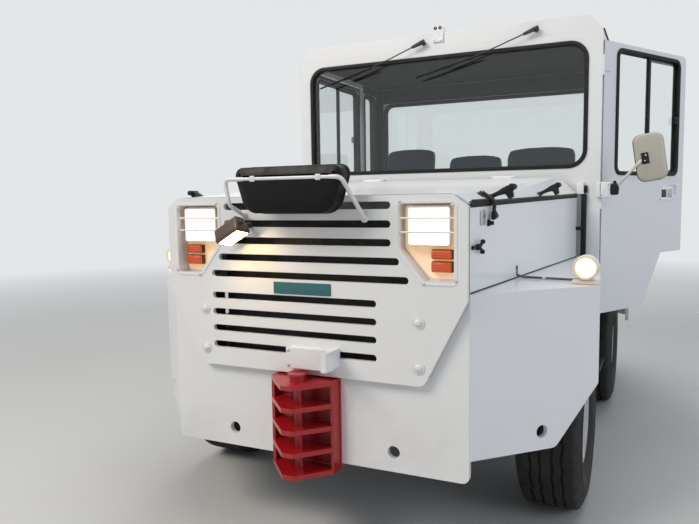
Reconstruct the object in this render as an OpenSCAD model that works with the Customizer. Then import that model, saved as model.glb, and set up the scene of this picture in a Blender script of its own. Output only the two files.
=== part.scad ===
// Aircraft pushback tractor: engine hood in front, full-width cab over the rear axle.
// Millimetres. Every piece is drawn from the front plate (Y = 0) rearwards, with the
// centreline at X = 0 and the tractor's left at +X. Heights are measured from a datum
// (Z = 0) that lies datum_z above the floor the tyres stand on.

/* [Body] */
// Height above the floor of the datum that the heights are measured from
datum_z = 70; // [55:5:85]
// Width over the front wings and the rear body
body_w = 2300; // [2240:10:2400]
// Distance from the front plate to the rear plate
body_l = 3850; // [3800:10:4000]
// Height of the wing ledges and the front plate
ledge_z = 1085; // [1070:5:1120]
// Height of the front plate's lower edge
plate_low_z = 325; // [290:5:360]
// Width of the flat front plate
plate_w = 1428; // [1400:4:1440]
// Thickness of the front, wing and rear plates
plate_t = 25; // [16:1:30]
// Distance the wings run back from the front plate
wing_back = 448; // [430:2:455]
// Radius of the tie-down holes in the front and wing plates
tie_hole_r = 27; // [20:1:32]

/* [Hood] */
// Height of the grille panel's upper edge
panel_top_z = 1473; // [1460:1:1490]
// Height of the grille panel's lower edge
panel_low_z = 709; // [700:1:730]
// Thickness of the grille panel
panel_t = 20; // [12:1:24]
// Height of one grille slot
slot_h = 30; // [24:1:34]
// Rise of the hood top from the grille to the windscreen
hood_rise = 105; // [80:5:115]
// Half width of the hood at the windscreen
hood_rear_half = 905; // [880:5:920]
// Thickness of the hood lid and the hood sides
hood_t = 14; // [8:1:18]

/* [Cab] */
// Width of the cab over its sides
cab_w = 2060; // [2030:10:2080]
// Height of the roof's top
roof_z = 2540; // [2520:5:2580]
// Distance from the front plate to the windscreen panel
cab_y = 1830; // [1830:5:1850]
// Depth of the cab from the windscreen panel to the rear wall
cab_l = 1390; // [1380:5:1420]
// Thickness of the cab's walls
wall_t = 45; // [40:1:50]
// Height of the cab floor's top face
floor_z = 765; // [760:1:775]
// Height of the seat platform over the rear axle
platform_z = 1050; // [1040:5:1060]

/* [Doors] */
// Width of a door
door_w = 960; // [940:5:965]
// Thickness of a door
door_t = 36; // [30:1:38]
// Angle at which the left door stands open
door_rest = 29; // [10:1:60]
// Gap round a closed door
door_gap = 7; // [6:1:10]

/* [Wheels] */
// Outer radius of a tyre
tyre_r = 420; // [405:5:425]
// Width of a tyre
tyre_w = 290; // [270:5:295]
// Distance between the centres of the left and right tyres
track = 1866; // [1850:2:1880]
// Distance from the front plate to the front axle
front_axle_y = 890; // [885:5:900]
// Distance between the axles
wheelbase = 1900; // [1890:5:1920]
// Seat radius of the rims
rim_r = 190; // [185:1:195]

/* [Couplings] */
// Number of jaws in the front coupling
jaws = 4; // [3:1:5]
// Height from one jaw plate to the next
jaw_pitch = 95; // [80:1:100]
// Thickness of a jaw plate
jaw_t = 20; // [14:1:24]
// Width of the coupling over its side walls
coupling_w = 300; // [280:2:310]
// Reach of the front coupling ahead of the front plate
coupling_reach = 200; // [180:2:210]
// Radius of the coupling pins
pin_r = 20; // [15:1:24]

/* [Hidden] */
$fn = 48;

// Colours as the photograph shows them
white_paint = "#eceef0";
red_paint = "#c01318";
rubber = "#16171a";
black = "#222326";
steel = "#7d8085";
glass = "#a9bcc4";
amber = "#e0691c";
seat_cloth = "#2d3a48";

// Fit between a shaft and its bore, and between a glass and its hole
run_fit = 0.05;
glass_fit = 0.3;
seat_fit = 0.3;

// Half widths and the rear end
body_h = body_w / 2;
plate_h = plate_w / 2;
cab_h = cab_w / 2;
rear_axle_y = front_axle_y + wheelbase;
axle_z = tyre_r - datum_z;
cab_rear_y = cab_y + cab_l;
wing_angle = atan2(wing_back, body_h - plate_h);
wing_len = norm([body_h - plate_h, wing_back]);

// Frame rails, springs and axles
rail_x = 360;
rail_w = 80;
rail_top = floor_z - 20;
rail_low = 540;
rail_t = 12;
spring_x = rail_x + rail_w / 2;
spring_w = 76;
axle_h = 110;
kingpin_x = track / 2 - 150;
kingpin_r = 22;
hub_bore_r = 35;
hub_face = track / 2 + 30;
hub_r = 95;

// Hood lines: half widths and heights at the panel and at the windscreen
hood_y0 = 12;
grille_half = 500;
hood_y1 = cab_y - 40;
seam_z0 = panel_top_z - 46;
seam_z1 = seam_z0 + 30;
hood_top_half0 = plate_h - 61;
hood_top_half1 = hood_rear_half - 105;
hood_top_z1 = panel_top_z + hood_rise;
seam_gap = 7;
hood_angle = atan2(hood_rear_half - plate_h, hood_y1 - hood_y0);
hood_len = norm([hood_rear_half - plate_h, hood_y1 - hood_y0]);
hinge_r = 9;
hood_pin_r = 4;
hood_barrel = 120;
hood_hinge_x = 450;
hood_hinge = [cab_y - 32, hood_top_z1 + 6];

// Cab openings
rail_head_z = roof_z - 95;
screen_low_z = 1643;
screen_top_z = rail_head_z - 62;
screen_half = cab_h - 92;
door_low_z = floor_z - 40;
door_step_z = platform_z + 20;
door_top_z = rail_head_z - 50;
hinge_x = cab_h + 6;
hinge_y = cab_y + wall_t + 6;
door_hinge_r = 8;
door_hinge_pin_r = 5;
door_hinge_h = 60;
door_hinge_z = [900, 1440, door_top_z - 155];
step_y0 = hinge_y + 0.51 * door_w;
step_y1 = hinge_y + 0.73 * door_w;

// Front coupling
coupling_top = panel_low_z - 9;
coupling_h = coupling_w / 2;
coupling_low = coupling_top - jaws * jaw_pitch - jaw_t;
coupling_pin_y = -0.48 * coupling_reach;
rear_jaws = 2;
rear_reach = 150;
rear_top = rail_top - 105;

// Front mirror: reach and radius of its hoop and radius of its shell's edge
hoop_out = 199;
hoop_r = 9;
shell_r = 48;
hoop_y = -hoop_out;

// The origin lies midway between the open door and the right side, and between the ends
door_reach = hinge_x + door_w * sin(door_rest);
front_reach = hoop_out + hoop_r;
mid_x = (door_reach - body_h) / 2;
mid_y = (body_l + rear_reach - front_reach) / 2;

// Corner rounding: a point [x, y, r] of an outline becomes an arc of radius r
function unit(v) = v / norm(v);
function arc_at(p0, p1, p2, r, n) = r <= 0 ? [p1] :
    let (a = unit(p0 - p1), b = unit(p2 - p1), half = acos(a * b) / 2,
        c = p1 + unit(a + b) * r / sin(half), s = p1 + a * r / tan(half) - c,
        turn = (a[0] * b[1] > a[1] * b[0] ? -1 : 1) * (180 - 2 * half))
    [for (i = [0:n]) c + r * [cos(atan2(s[1], s[0]) + turn * i / n), sin(atan2(s[1], s[0]) + turn * i / n)]];
function xy(p) = [p[0], p[1]];
function rounded(pts, n = 6) = let (q = len(pts)) [for (i = [0:q - 1])
    each arc_at(xy(pts[(i + q - 1) % q]), xy(pts[i]), xy(pts[(i + 1) % q]),
        len(pts[i]) > 2 ? pts[i][2] : 0, n)];
function rect(x0, y0, x1, y1, r) = rounded([[x0, y0, r], [x1, y0, r], [x1, y1, r], [x0, y1, r]]);
// The right half of a symmetric outline, listed from the bottom up, gives the whole
function whole(pts) = concat(pts, [for (i = [len(pts) - 1:-1:0]) [-pts[i][0], pts[i][1], pts[i][2]]]);

// An outline in X and Z, given thickness t rearwards from y
module facing(outline, y, t) {
    translate([0, y + t, 0]) rotate([90, 0, 0]) linear_extrude(t) polygon(outline);
}
// An outline in Y and Z, given thickness t towards +X from x
module sideways(outline, x, t) {
    translate([x, 0, 0]) rotate([90, 0, 90]) linear_extrude(t) polygon(outline);
}
// An outline in X and Y, given thickness t upwards from z
module lying(outline, z, t) {
    translate([0, 0, z]) linear_extrude(t) polygon(outline);
}
module both_sides() {
    children();
    mirror([1, 0, 0]) children();
}
// A round bar between two points
module bar(a, b, r) {
    d = b - a;
    translate(a) rotate([0, acos(d[2] / norm(d)), atan2(d[1], d[0])]) cylinder(h = norm(d), r = r);
}
// A round bar through a row of points, with ball corners
module rod(pts, r) {
    for (i = [0:len(pts) - 2]) bar(pts[i], pts[i + 1], r);
    for (i = [1:len(pts) - 2]) translate(pts[i]) sphere(1.06 * r);
}
module place() {
    translate([-mid_x, -mid_y, datum_z]) children();
}

// Two channel rails with their open sides inwards, and the cross members between them
module frame_rails() color(black) {
    difference() {
        both_sides() sideways(rect(plate_t, rail_low, body_l - plate_t, rail_top, 0), rail_x, rail_w);
        both_sides() translate([rail_x - 1, plate_t - 1, rail_low + rail_t])
            cube([rail_w - rail_t + 1, body_l, rail_top - rail_low - 2 * rail_t]);
    }
    for (y = [plate_t, 330, 2300, 3300, body_l - plate_t - 60])
        translate([-rail_x - rail_w + rail_t, y, rail_low + 40])
            cube([2 * (rail_x + rail_w - rail_t), 60, 100]);
}

// Leaf springs: each pack is three curved leaves on the axle, its ends at the rail
module springs() color(black) both_sides() for (y = [front_axle_y, rear_axle_y]) {
    spring_pack(y);
}
spring_seat = axle_z + axle_h / 2;
module spring_pack(y) {
    half = 330;
    eye_drop = 26;
    r = (half * half + eye_drop * eye_drop) / (2 * eye_drop);
    // each leaf follows one arc, shorter towards the axle
    for (leaf = [[0, half], [1, 230], [2, 140]]) {
        low = spring_seat + (2 - leaf[0]) * 12;
        difference() {
            translate([spring_x - spring_w / 2, y, low + r]) rotate([0, 90, 0]) difference() {
                cylinder(h = spring_w, r = r, $fn = 200);
                translate([0, 0, -1]) cylinder(h = spring_w + 2, r = r - 12, $fn = 200);
            }
            translate([0, y - leaf[1] - 2 * r, low - 1]) cube([1000, 2 * r, 3 * r]);
            translate([0, y + leaf[1], low - 1]) cube([1000, 2 * r, 3 * r]);
            translate([0, y - leaf[1] - 1, low + eye_drop + 40]) cube([1000, 2 * leaf[1] + 2, 3 * r]);
        }
    }
    // shackle plates up to the rail
    for (s = [-1, 1]) translate([spring_x - spring_w / 2, y + s * (half - 20) - 15, spring_seat + 50])
        cube([spring_w, 30, rail_low - spring_seat - 50]);
}

// Flat front plate with the low hooks' holes, open behind the grille
tie_x = 394;
tie_z = 409;
module front_plate() color(white_paint) difference() {
    facing(rounded(whole([[plate_h, plate_low_z, 30], [plate_h, ledge_z, 0]])), 0, plate_t);
    for (s = [-1, 1]) translate([s * tie_x, -1, tie_z]) rotate([-90, 0, 0])
        cylinder(h = plate_t + 2, r = tie_hole_r);
    translate([-grille_half, -1, panel_low_z + 60]) cube([2 * grille_half, plate_t + 2, ledge_z]);
}

// Wing plates, folded back from the edges of the front plate
wing_hole = [342, 496];
wing_low = 419;
wing_rise = 668;
module wing_plates() color(white_paint) both_sides() difference() {
    translate([plate_h, 0, 0]) rotate([0, 0, wing_angle]) difference() {
        facing(rounded([[-plate_t, wing_low, 0], [wing_len - 216, wing_low, 40], [wing_len, wing_rise, 20],
            [wing_len, ledge_z, 0], [-plate_t, ledge_z, 0]]), 0, plate_t);
        translate([wing_hole[0], -1, wing_hole[1]]) rotate([-90, 0, 0])
            cylinder(h = plate_t + 2, r = tie_hole_r);
    }
    translate([0, -2 * plate_t, 0]) cube([plate_h, 4 * plate_t, 2 * ledge_z]);
}

// Ledges between the plates, the hood and the cab, with the round marker lamps' housings
ledge_t = 12;
marker = [body_h - 60, wing_back + 10, ledge_z + 72];
marker_r = 52;
marker_l = 50;
module ledges() color(white_paint) both_sides() {
    lying([[500, plate_t], [plate_h - plate_t * tan(wing_angle / 2), plate_t],
        [body_h - plate_t * sin(wing_angle), wing_back + plate_t * cos(wing_angle)],
        [body_h, wing_back + 30], [cab_h, cab_y], [500, cab_y]], ledge_z - ledge_t, ledge_t);
    translate(marker) rotate([-90, 0, 0]) cylinder(h = marker_l, r = marker_r);
    translate([marker[0] - 30, marker[1] + 5, ledge_z - 1]) cube([60, marker_l - 10, marker[2] - ledge_z]);
}

// Slots: [height, reach to the right, reach to the left], from the top
slot_rows = [for (i = [0:8]) [
    panel_top_z - 41 - 75 * i - (i > 4 ? 25 : 0),
    i < 3 ? 400 : i == 3 ? 435 : 475,
    i < 3 ? 400 : i == 3 ? 435 : i == 4 ? 475 : 335]];
panel_y = -12;
lamp_tray = [[540, 1131, 12], [660, 1131, 18], [660, 1437, 18], [434, 1437, 18], [434, 1262, 18]];
tray_depth = 45;
guard_z = [1325, 1381];
guard_r = 4;
module grille_panel() color(white_paint) {
    difference() {
        union() {
            facing(rounded(whole([[535, panel_low_z, 35], [plate_h, 1060, 25], [plate_h, seam_z0, 10],
                [hood_top_half0, panel_top_z, 10]])), panel_y - panel_t, panel_t);
            both_sides() facing(rounded([[534, 1125, 12], [666, 1125, 24], [666, 1443, 24],
                [428, 1443, 24], [428, 1260, 24]]), panel_y - 1, tray_depth + 7);
            // bosses that seat the panel on the front plate
            for (s = [-1, 1]) for (z = [785, 968]) translate([s * 517, panel_y - 1, z]) rotate([-90, 0, 0])
                cylinder(h = 1 - panel_y, r = 18);
        }
        both_sides() facing(rounded(lamp_tray), panel_y - panel_t - 1, panel_t + tray_depth);
        for (row = slot_rows)
            facing(rect(-row[1], row[0] - slot_h / 2, row[2], row[0] + slot_h / 2, slot_h / 2 - 0.01),
                panel_y - panel_t - 1, panel_t + 2);
    }
    // guard bars across the headlamps
    both_sides() for (z = guard_z) translate([433, panel_y - 0.6 * panel_t, z]) rotate([0, 90, 0])
        cylinder(h = 228, r = guard_r);
    // socket housing over the coupling, with its lid swung open on the left
    translate([-70, panel_y - panel_t - 40, coupling_top + 42]) cube([214, 42, 88]);
    translate([143, panel_y - panel_t - 128, coupling_top + 60]) cube([25, 130, 78]);
}

// Radiator core between its side tanks, seen dark through the slots
radiator_y = 80;
radiator_half = 470;
module radiator() color(black)
    translate([-radiator_half, radiator_y, rail_top + seat_fit])
        cube([2 * radiator_half, 70, panel_top_z - 60 - rail_top]);

// The closed engine, one block at its real place and size, with its flywheel housing
engine_y = 450;
engine_l = 950;
flywheel_l = 180;
nose_l = 230;
module engine_block() color(steel) {
    translate([-270, engine_y, rail_low + 20]) cube([540, engine_l, 720]);
    reach = rail_x + rail_w - rail_t - seat_fit;
    for (y = [engine_y + 60, engine_y + engine_l - 120]) translate([-reach, y, rail_low + 60])
        cube([2 * reach, 60, 60]);
    translate([0, engine_y + engine_l - 20, rail_low + 230]) rotate([-90, 0, 0])
        cylinder(h = flywheel_l + 20, r = 200);
}

// Shaft from the gearbox to the rear axle
module propshaft() color(steel) {
    front = [0, engine_y + engine_l + flywheel_l + seat_fit, rail_low + 100];
    back = [0, rear_axle_y - nose_l - seat_fit, axle_z];
    bar(front + [0, 30, -4], back - [0, 30, -4], 40);
    translate(front) rotate([-90, 0, 0]) cylinder(h = 40, r = 62);
    translate(back) rotate([90, 0, 0]) cylinder(h = 40, r = 62);
}

// Steering axle: beam, kingpin eyes and kingpins
module front_axle() color(black) {
    difference() {
        union() {
            translate([-kingpin_x, front_axle_y - 55, axle_z - axle_h / 2])
                cube([2 * kingpin_x, 110, axle_h]);
            for (s = [-1, 1]) translate([s * kingpin_x, front_axle_y, axle_z - axle_h / 2])
                cylinder(h = axle_h, r = 50);
        }
        for (s = [-1, 1]) translate([s * kingpin_x, front_axle_y, axle_z - axle_h])
            cylinder(h = 2 * axle_h, r = kingpin_r + run_fit);
    }
}

// Steering knuckle: a fork round the axle's eye, the kingpin and the wheel's stub axle
fork_h = 30;
module knuckle() {
    for (s = [-1, 1]) translate([0, 0, s * (axle_h / 2 + 1 + fork_h / 2)]) {
        cylinder(h = fork_h, r = 48, center = true);
        translate([35, 0, 0]) cube([70, 90, fork_h], center = true);
    }
    translate([0, 0, -axle_h / 2 - fork_h]) cylinder(h = axle_h + 2 * fork_h, r = kingpin_r);
    translate([56, -45, -axle_h / 2 - 1 - fork_h]) cube([20, 90, axle_h + 2 + 2 * fork_h]);
    translate([60, 0, 0]) rotate([0, 90, 0]) cylinder(h = hub_face - kingpin_x - 60,
        r = hub_bore_r - run_fit);
    // steering arm, which stays inside the rim's edge
    translate([0, 0, -axle_h / 2 - 1 - fork_h]) linear_extrude(20)
        polygon([[-40, 30], [60, 30], [0, 120], [-20, 190], [-50, 190]]);
}
module knuckle_left() color(black) translate([kingpin_x, front_axle_y, axle_z]) knuckle();
module knuckle_right() color(black) mirror([1, 0, 0]) translate([kingpin_x, front_axle_y, axle_z]) knuckle();

// Driven rear axle: tubes, round differential housing and stub ends
module rear_axle() color(black) {
    translate([-kingpin_x - 60, rear_axle_y, axle_z]) rotate([0, 90, 0])
        cylinder(h = 2 * kingpin_x + 120, r = axle_h / 2);
    // round housing, domed behind and with the shaft's nose in front
    translate([0, rear_axle_y, axle_z]) rotate([90, 0, 0]) rotate_extrude()
        polygon([[0, -120], [90, -112], [150, -70], [175, -20], [175, 20], [120, 110], [80, 140],
            [80, nose_l], [0, nose_l]]);
    for (s = [-1, 1]) translate([s * (kingpin_x + 60), rear_axle_y, axle_z]) rotate([0, s * 90, 0])
        cylinder(h = hub_face - kingpin_x - 60, r = hub_bore_r - run_fit);
}

// Tyre section: bead, bulging wall, square shoulder and flat tread
bead = 41;
module tyre() rotate([0, 90, 0]) rotate_extrude($fn = 96)
    polygon(rounded([[rim_r + 2, -tyre_w / 2 + bead, 8], [rim_r + 70, -tyre_w / 2, 40],
        [tyre_r - 45, -tyre_w / 2, 50],
        [tyre_r, -tyre_w / 2 + 32, 16], [tyre_r, tyre_w / 2 - 32, 16], [tyre_r - 45, tyre_w / 2, 50],
        [rim_r + 70, tyre_w / 2, 40], [rim_r + 2, tyre_w / 2 - bead, 8]]));

// Rim: barrel with flanges, dished disc with holes and a hub; the outside faces +X
stud_count = 8;
flange = tyre_w / 2 - bead + 19;
module rim() difference() {
    rotate([0, 90, 0]) union() {
        rotate_extrude($fn = 96) polygon([[rim_r - 12, -flange], [rim_r + 14, -flange],
            [rim_r + 14, 9 - flange], [rim_r + 1.9, 15 - flange], [rim_r + 1.9, flange - 15],
            [rim_r + 14, flange - 9], [rim_r + 14, flange], [rim_r - 12, flange]]);
        rotate_extrude($fn = 96) polygon([[hub_r - 1, 36], [hub_r - 1, 24], [rim_r - 11, 44],
            [rim_r - 11, 58]]);
        translate([0, 0, -40]) cylinder(h = 100, r = hub_r);
    }
    translate([-41, 0, 0]) rotate([0, 90, 0]) cylinder(h = 71, r = hub_bore_r);
    for (i = [0:stud_count - 1]) rotate([i * 360 / stud_count + 22.5, 0, 0])
        translate([0, 0, (hub_r + rim_r) / 2])
        rotate([0, 90, 0]) cylinder(h = 200, r = 15);
}
// Wheel places: [side, distance from the front plate]
module wheel_at(side, y) {
    mirror([side < 0 ? 1 : 0, 0, 0]) translate([track / 2, y, axle_z]) children();
}
module tyre_fl() color(rubber) wheel_at(1, front_axle_y) tyre();
module tyre_fr() color(rubber) wheel_at(-1, front_axle_y) tyre();
module tyre_rl() color(rubber) wheel_at(1, rear_axle_y) tyre();
module tyre_rr() color(rubber) wheel_at(-1, rear_axle_y) tyre();
module rim_fl() color(white_paint) wheel_at(1, front_axle_y) rim();
module rim_fr() color(white_paint) wheel_at(-1, front_axle_y) rim();
module rim_rl() color(white_paint) wheel_at(1, rear_axle_y) rim();
module rim_rr() color(white_paint) wheel_at(-1, rear_axle_y) rim();

// Hood sides: flat panels that stand on the ledges and spread towards the cab
module hood_sides() color(white_paint) both_sides()
    translate([plate_h - 4, hood_y0, 0]) rotate([0, 0, 90 - hood_angle])
        facing([[0, ledge_z], [hood_len, ledge_z], [hood_len, seam_z1], [0, seam_z0]], 0, hood_t);

// Hood lid: top and two bevelled edges, hinged in front of the windscreen
module hood_form(inset, over) {
    ends = [[hood_y0 - over, plate_h, seam_z0, hood_top_half0, panel_top_z],
        [hood_y1 + over, hood_rear_half, seam_z1, hood_top_half1, hood_top_z1]];
    hull() for (e = ends)
        facing([[-e[1] + inset, e[2] + seam_gap - over], [e[1] - inset, e[2] + seam_gap - over],
            [e[3] - inset / 2, e[4] - inset], [-e[3] + inset / 2, e[4] - inset]], e[0] - 0.5, 1);
}
module hood_lid() color(white_paint) {
    difference() {
        hood_form(0, 0);
        hood_form(hood_t, 2);
    }
    for (s = [-1, 1]) translate([s * hood_hinge_x - hood_barrel / 2, hood_hinge[0], hood_hinge[1]]) {
        difference() {
            union() {
                rotate([0, 90, 0]) cylinder(h = hood_barrel, r = hinge_r);
                translate([0, -50, -hinge_r - 6]) cube([hood_barrel, 50, 12]);
            }
            translate([-1, 0, 0]) rotate([0, 90, 0]) cylinder(h = hood_barrel + 2, r = hood_pin_r + run_fit);
        }
    }
}

// Cab floor: footwell, slope and seat platform, one folded plate
module cab_floor() color(black) {
    t = 20;
    inner = cab_h - wall_t - seat_fit;
    sideways([[cab_y, floor_z - t], [step_y0 - 10, floor_z - t], [step_y1 - 10, platform_z - t],
        [cab_rear_y, platform_z - t], [cab_rear_y, platform_z], [step_y1 - 22, platform_z],
        [step_y0 - 22, floor_z], [cab_y, floor_z]], -inner, 2 * inner);
}

// Steps under the doors: two hangers and a punched tread each
step_z = 350;
step_y = [cab_y + 150, cab_y + 500];
module cab_steps() color(black) both_sides() {
    for (y = step_y) translate([cab_h - 130, y - 4, step_z]) cube([60, 8, floor_z - 20 - step_z]);
    difference() {
        lying(rounded([[cab_h - 150, step_y[0] - 4, 0], [cab_h + 10, step_y[0] - 4, 20],
            [cab_h + 10, step_y[1] + 4, 20], [cab_h - 150, step_y[1] + 4, 0]]), step_z - 20, 20);
        for (x = [cab_h - 50, cab_h - 15], y = [step_y[0] + 45:65:step_y[1] - 30])
            translate([x, y, step_z - 21]) cylinder(h = 22, r = 12);
    }
}

// Windscreen panel across the full width, from the ledge to the roof
module cab_front() color(white_paint) {
    difference() {
        facing(rect(-cab_h, floor_z + seat_fit, cab_h, rail_head_z, 0), cab_y, wall_t);
        facing(rect(-screen_half, screen_low_z, screen_half, screen_top_z, 100), cab_y - 1, wall_t + 2);
    }
    both_sides() for (z = door_hinge_z) translate([hinge_x, hinge_y, z]) post_hinge();
    for (s = [-1, 1]) translate([s * hood_hinge_x, hood_hinge[0], hood_hinge[1]]) hood_ears();
}
// The post's half of a door hinge: two knuckles, their leaf and the pin
module post_hinge() {
    for (z = [-door_hinge_h, door_hinge_h / 2]) translate([0, 0, z]) {
        cylinder(h = door_hinge_h / 2, r = door_hinge_r);
        translate([-7, -40, 0]) cube([7 + door_hinge_r / 2, 40, door_hinge_h / 2]);
    }
    translate([-7, -50, -door_hinge_h]) cube([7 + door_hinge_r / 2, 50 - door_hinge_r - 3, 2 * door_hinge_h]);
    translate([0, 0, -door_hinge_h]) cylinder(h = 2 * door_hinge_h, r = door_hinge_pin_r);
}
// Two ears and the pin that carry one barrel of the hood lid
module hood_ears() {
    ear_t = 12;
    for (x = [-hood_barrel / 2 - 2 - ear_t, hood_barrel / 2 + 2]) translate([x, 0, 0]) {
        rotate([0, 90, 0]) cylinder(h = ear_t, r = hinge_r);
        translate([0, 0, -hinge_r]) cube([ear_t, cab_y - hood_hinge[0] + 1, 2 * hinge_r]);
    }
    translate([-hood_barrel / 2 - 3, 0, 0]) rotate([0, 90, 0]) cylinder(h = hood_barrel + 6, r = hood_pin_r);
}

// Rear wall with its wide window
rear_win_half = 915;
rear_win_low = 1560;
rear_win_top = rail_head_z - 155;
module cab_rear() color(white_paint) difference() {
    facing(rect(-cab_h, platform_z + seat_fit, cab_h, rail_head_z, 0), cab_rear_y - wall_t, wall_t);
    facing(rect(-rear_win_half, rear_win_low, rear_win_half, rear_win_top, 70), cab_rear_y - wall_t - 1,
        wall_t + 2);
}

// Side frames: the rail over the door, the rear post and the quarter window
quarter_y0 = hinge_y + door_w + 32;
quarter_y1 = cab_rear_y - wall_t - 70;
quarter_low = 1600;
quarter_top = rail_head_z - 95;
module cab_sides() color(white_paint) both_sides() difference() {
    sideways(rect(cab_y + wall_t, platform_z + seat_fit, cab_rear_y - wall_t, rail_head_z, 0),
        cab_h - wall_t, wall_t);
    sideways(rect(cab_y, 0, hinge_y + door_w + door_gap, door_top_z + door_gap, 0), cab_h - wall_t - 1,
        wall_t + 2);
    sideways(rect(quarter_y0, quarter_low, quarter_y1, quarter_top, 50), cab_h - wall_t - 1, wall_t + 2);
}

// Roof with bevelled side edges and the small two-hole bracket over the windscreen
bracket_x = [-25, 45];
bracket_rise = 50;
module cab_roof() color(white_paint) {
    facing(rounded(whole([[cab_h, rail_head_z, 0], [cab_h, rail_head_z + 8, 20], [cab_h - 80, roof_z, 20]])),
        cab_y, cab_l);
    difference() {
        union() {
            bracket_plate(roof_z - 60, 15);
            bracket_plate(roof_z, 60);
        }
        for (x = [bracket_x[0] + 19, bracket_x[1] - 19]) translate([x, cab_y - 15, roof_z + 28])
            rotate([-90, 0, 0]) cylinder(h = 62, r = 8);
    }
}
module bracket_plate(low, t) {
    facing(rounded([[bracket_x[0], low, 0], [bracket_x[1], low, 0], [bracket_x[1], roof_z + bracket_rise, 12],
        [bracket_x[0], roof_z + bracket_rise, 12]]), cab_y - 14, t);
}

// Fixed panes: windscreen, rear window and quarter windows
pane_t = 8;
module cab_glass() color(glass) {
    f = glass_fit;
    facing(rect(-screen_half + f, screen_low_z + f, screen_half - f, screen_top_z - f, 100), cab_y + 12,
        pane_t);
    facing(rect(-rear_win_half + f, rear_win_low + f, rear_win_half - f, rear_win_top - f, 70),
        cab_rear_y - 12 - pane_t, pane_t);
    both_sides() sideways(rect(quarter_y0 + f, quarter_low + f, quarter_y1 - f, quarter_top - f, 50),
        cab_h - 12 - pane_t, pane_t);
}

// Doors, drawn closed on the left from the hinge line, then turned and mirrored
win_y0 = 150;
win_y1 = door_w - 90;
win_low = 1600;
win_top = door_top_z - 42;
module door_leaf() difference() {
    union() {
        sideways(rounded([[8, door_low_z, 10], [step_y0 - hinge_y, door_low_z, 10],
            [step_y1 - hinge_y, door_step_z, 10], [door_w, door_step_z, 10], [door_w, door_top_z, 40],
            [8, door_top_z, 10]]), -6 - door_t, door_t);
        for (z = door_hinge_z) translate([0, 0, z - door_hinge_h / 2 + 1]) {
            cylinder(h = door_hinge_h - 2, r = door_hinge_r);
            translate([-7, 0, 0]) cube([7 + door_hinge_r / 2, 60, door_hinge_h - 2]);
        }
    }
    for (z = door_hinge_z) translate([0, 0, z - door_hinge_h])
        cylinder(h = 2 * door_hinge_h, r = door_hinge_pin_r + run_fit);
    sideways(rect(win_y0, win_low, win_y1, win_top, 45), -7 - door_t, door_t + 2);
    // pull recess
    translate([-16, door_w - 165, 1465]) cube([20, 80, 60]);
}
module door_pane() {
    f = glass_fit;
    sideways(rect(win_y0 + f, win_low + f, win_y1 - f, win_top - f, 45), -26, pane_t);
}
module at_left_hinge(angle) translate([hinge_x, hinge_y, 0]) rotate([0, 0, -angle]) children();
module door_left() color(white_paint) at_left_hinge(door_rest) door_leaf();
module door_left_glass() color(glass) at_left_hinge(door_rest) door_pane();
module door_right() color(white_paint) mirror([1, 0, 0]) at_left_hinge(0) door_leaf();
module door_right_glass() color(glass) mirror([1, 0, 0]) at_left_hinge(0) door_pane();

// Dashboard across the cab under the windscreen
dash_y = cab_y + wall_t;
dash_top = screen_low_z - 83;
dash_half = cab_h - wall_t - 30;
module dashboard() color(black)
    sideways(rounded([[dash_y, dash_top - 380, 0], [dash_y + 150, dash_top - 380, 20],
        [dash_y + 260, dash_top - 140, 30], [dash_y + 180, dash_top - 60, 40], [dash_y, dash_top, 0]]),
        -dash_half, 2 * dash_half);

// Steering column and wheel in front of the driver, on the left
steer_x = 500;
steer_r = 215;
column_r = 28;
column_foot = [steer_x, dash_y + 190, floor_z + seat_fit];
column_head = [steer_x, dash_y + 440, dash_top];
column_lean = atan2(column_head[1] - column_foot[1], column_head[2] - column_foot[2]);
module steering_wheel() color(black) {
    translate(column_head) rotate([-column_lean, 0, 0]) {
        rotate_extrude() translate([steer_r, 0]) circle(r = 15, $fn = 24);
        for (a = [90, 210, 330]) rotate([0, 0, a]) translate([0, -14, -10]) cube([steer_r, 28, 12]);
        translate([0, 0, -30]) cylinder(h = 40, r = 50);
    }
    bar(column_foot + [0, 0, 14], column_head - [0, 0, 20], column_r);
    translate(column_foot) cylinder(h = 18, r = 2 * column_r);
}

// Three seats on the platform: [centre, width of the back, height above the platform]
seat_rows = [[-600, 465, 850], [-34, 470, 775], [493, 560, 820]];
seat_y = step_y1 - 60;
module seats() color(seat_cloth) for (s = seat_rows) translate([s[0], seat_y, 0]) {
    // box, cushion and back
    translate([-180, 60, platform_z + seat_fit]) cube([360, 300, 170]);
    hull() for (x = [-1, 1]) for (y = [40, 420]) translate([x * (s[1] / 2 - 40), y, platform_z + 170])
        cylinder(h = 110, r = 40, $fn = 24);
    hull() for (x = [-1, 1]) {
        translate([x * (s[1] / 2 - 35), 380, platform_z + 281]) sphere(35, $fn = 24);
        translate([x * (s[1] / 2 - 60), 470, platform_z + s[2] - 60]) rotate([90, 0, 0])
            cylinder(h = 70, r = 60, center = true, $fn = 24);
    }
}

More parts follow.
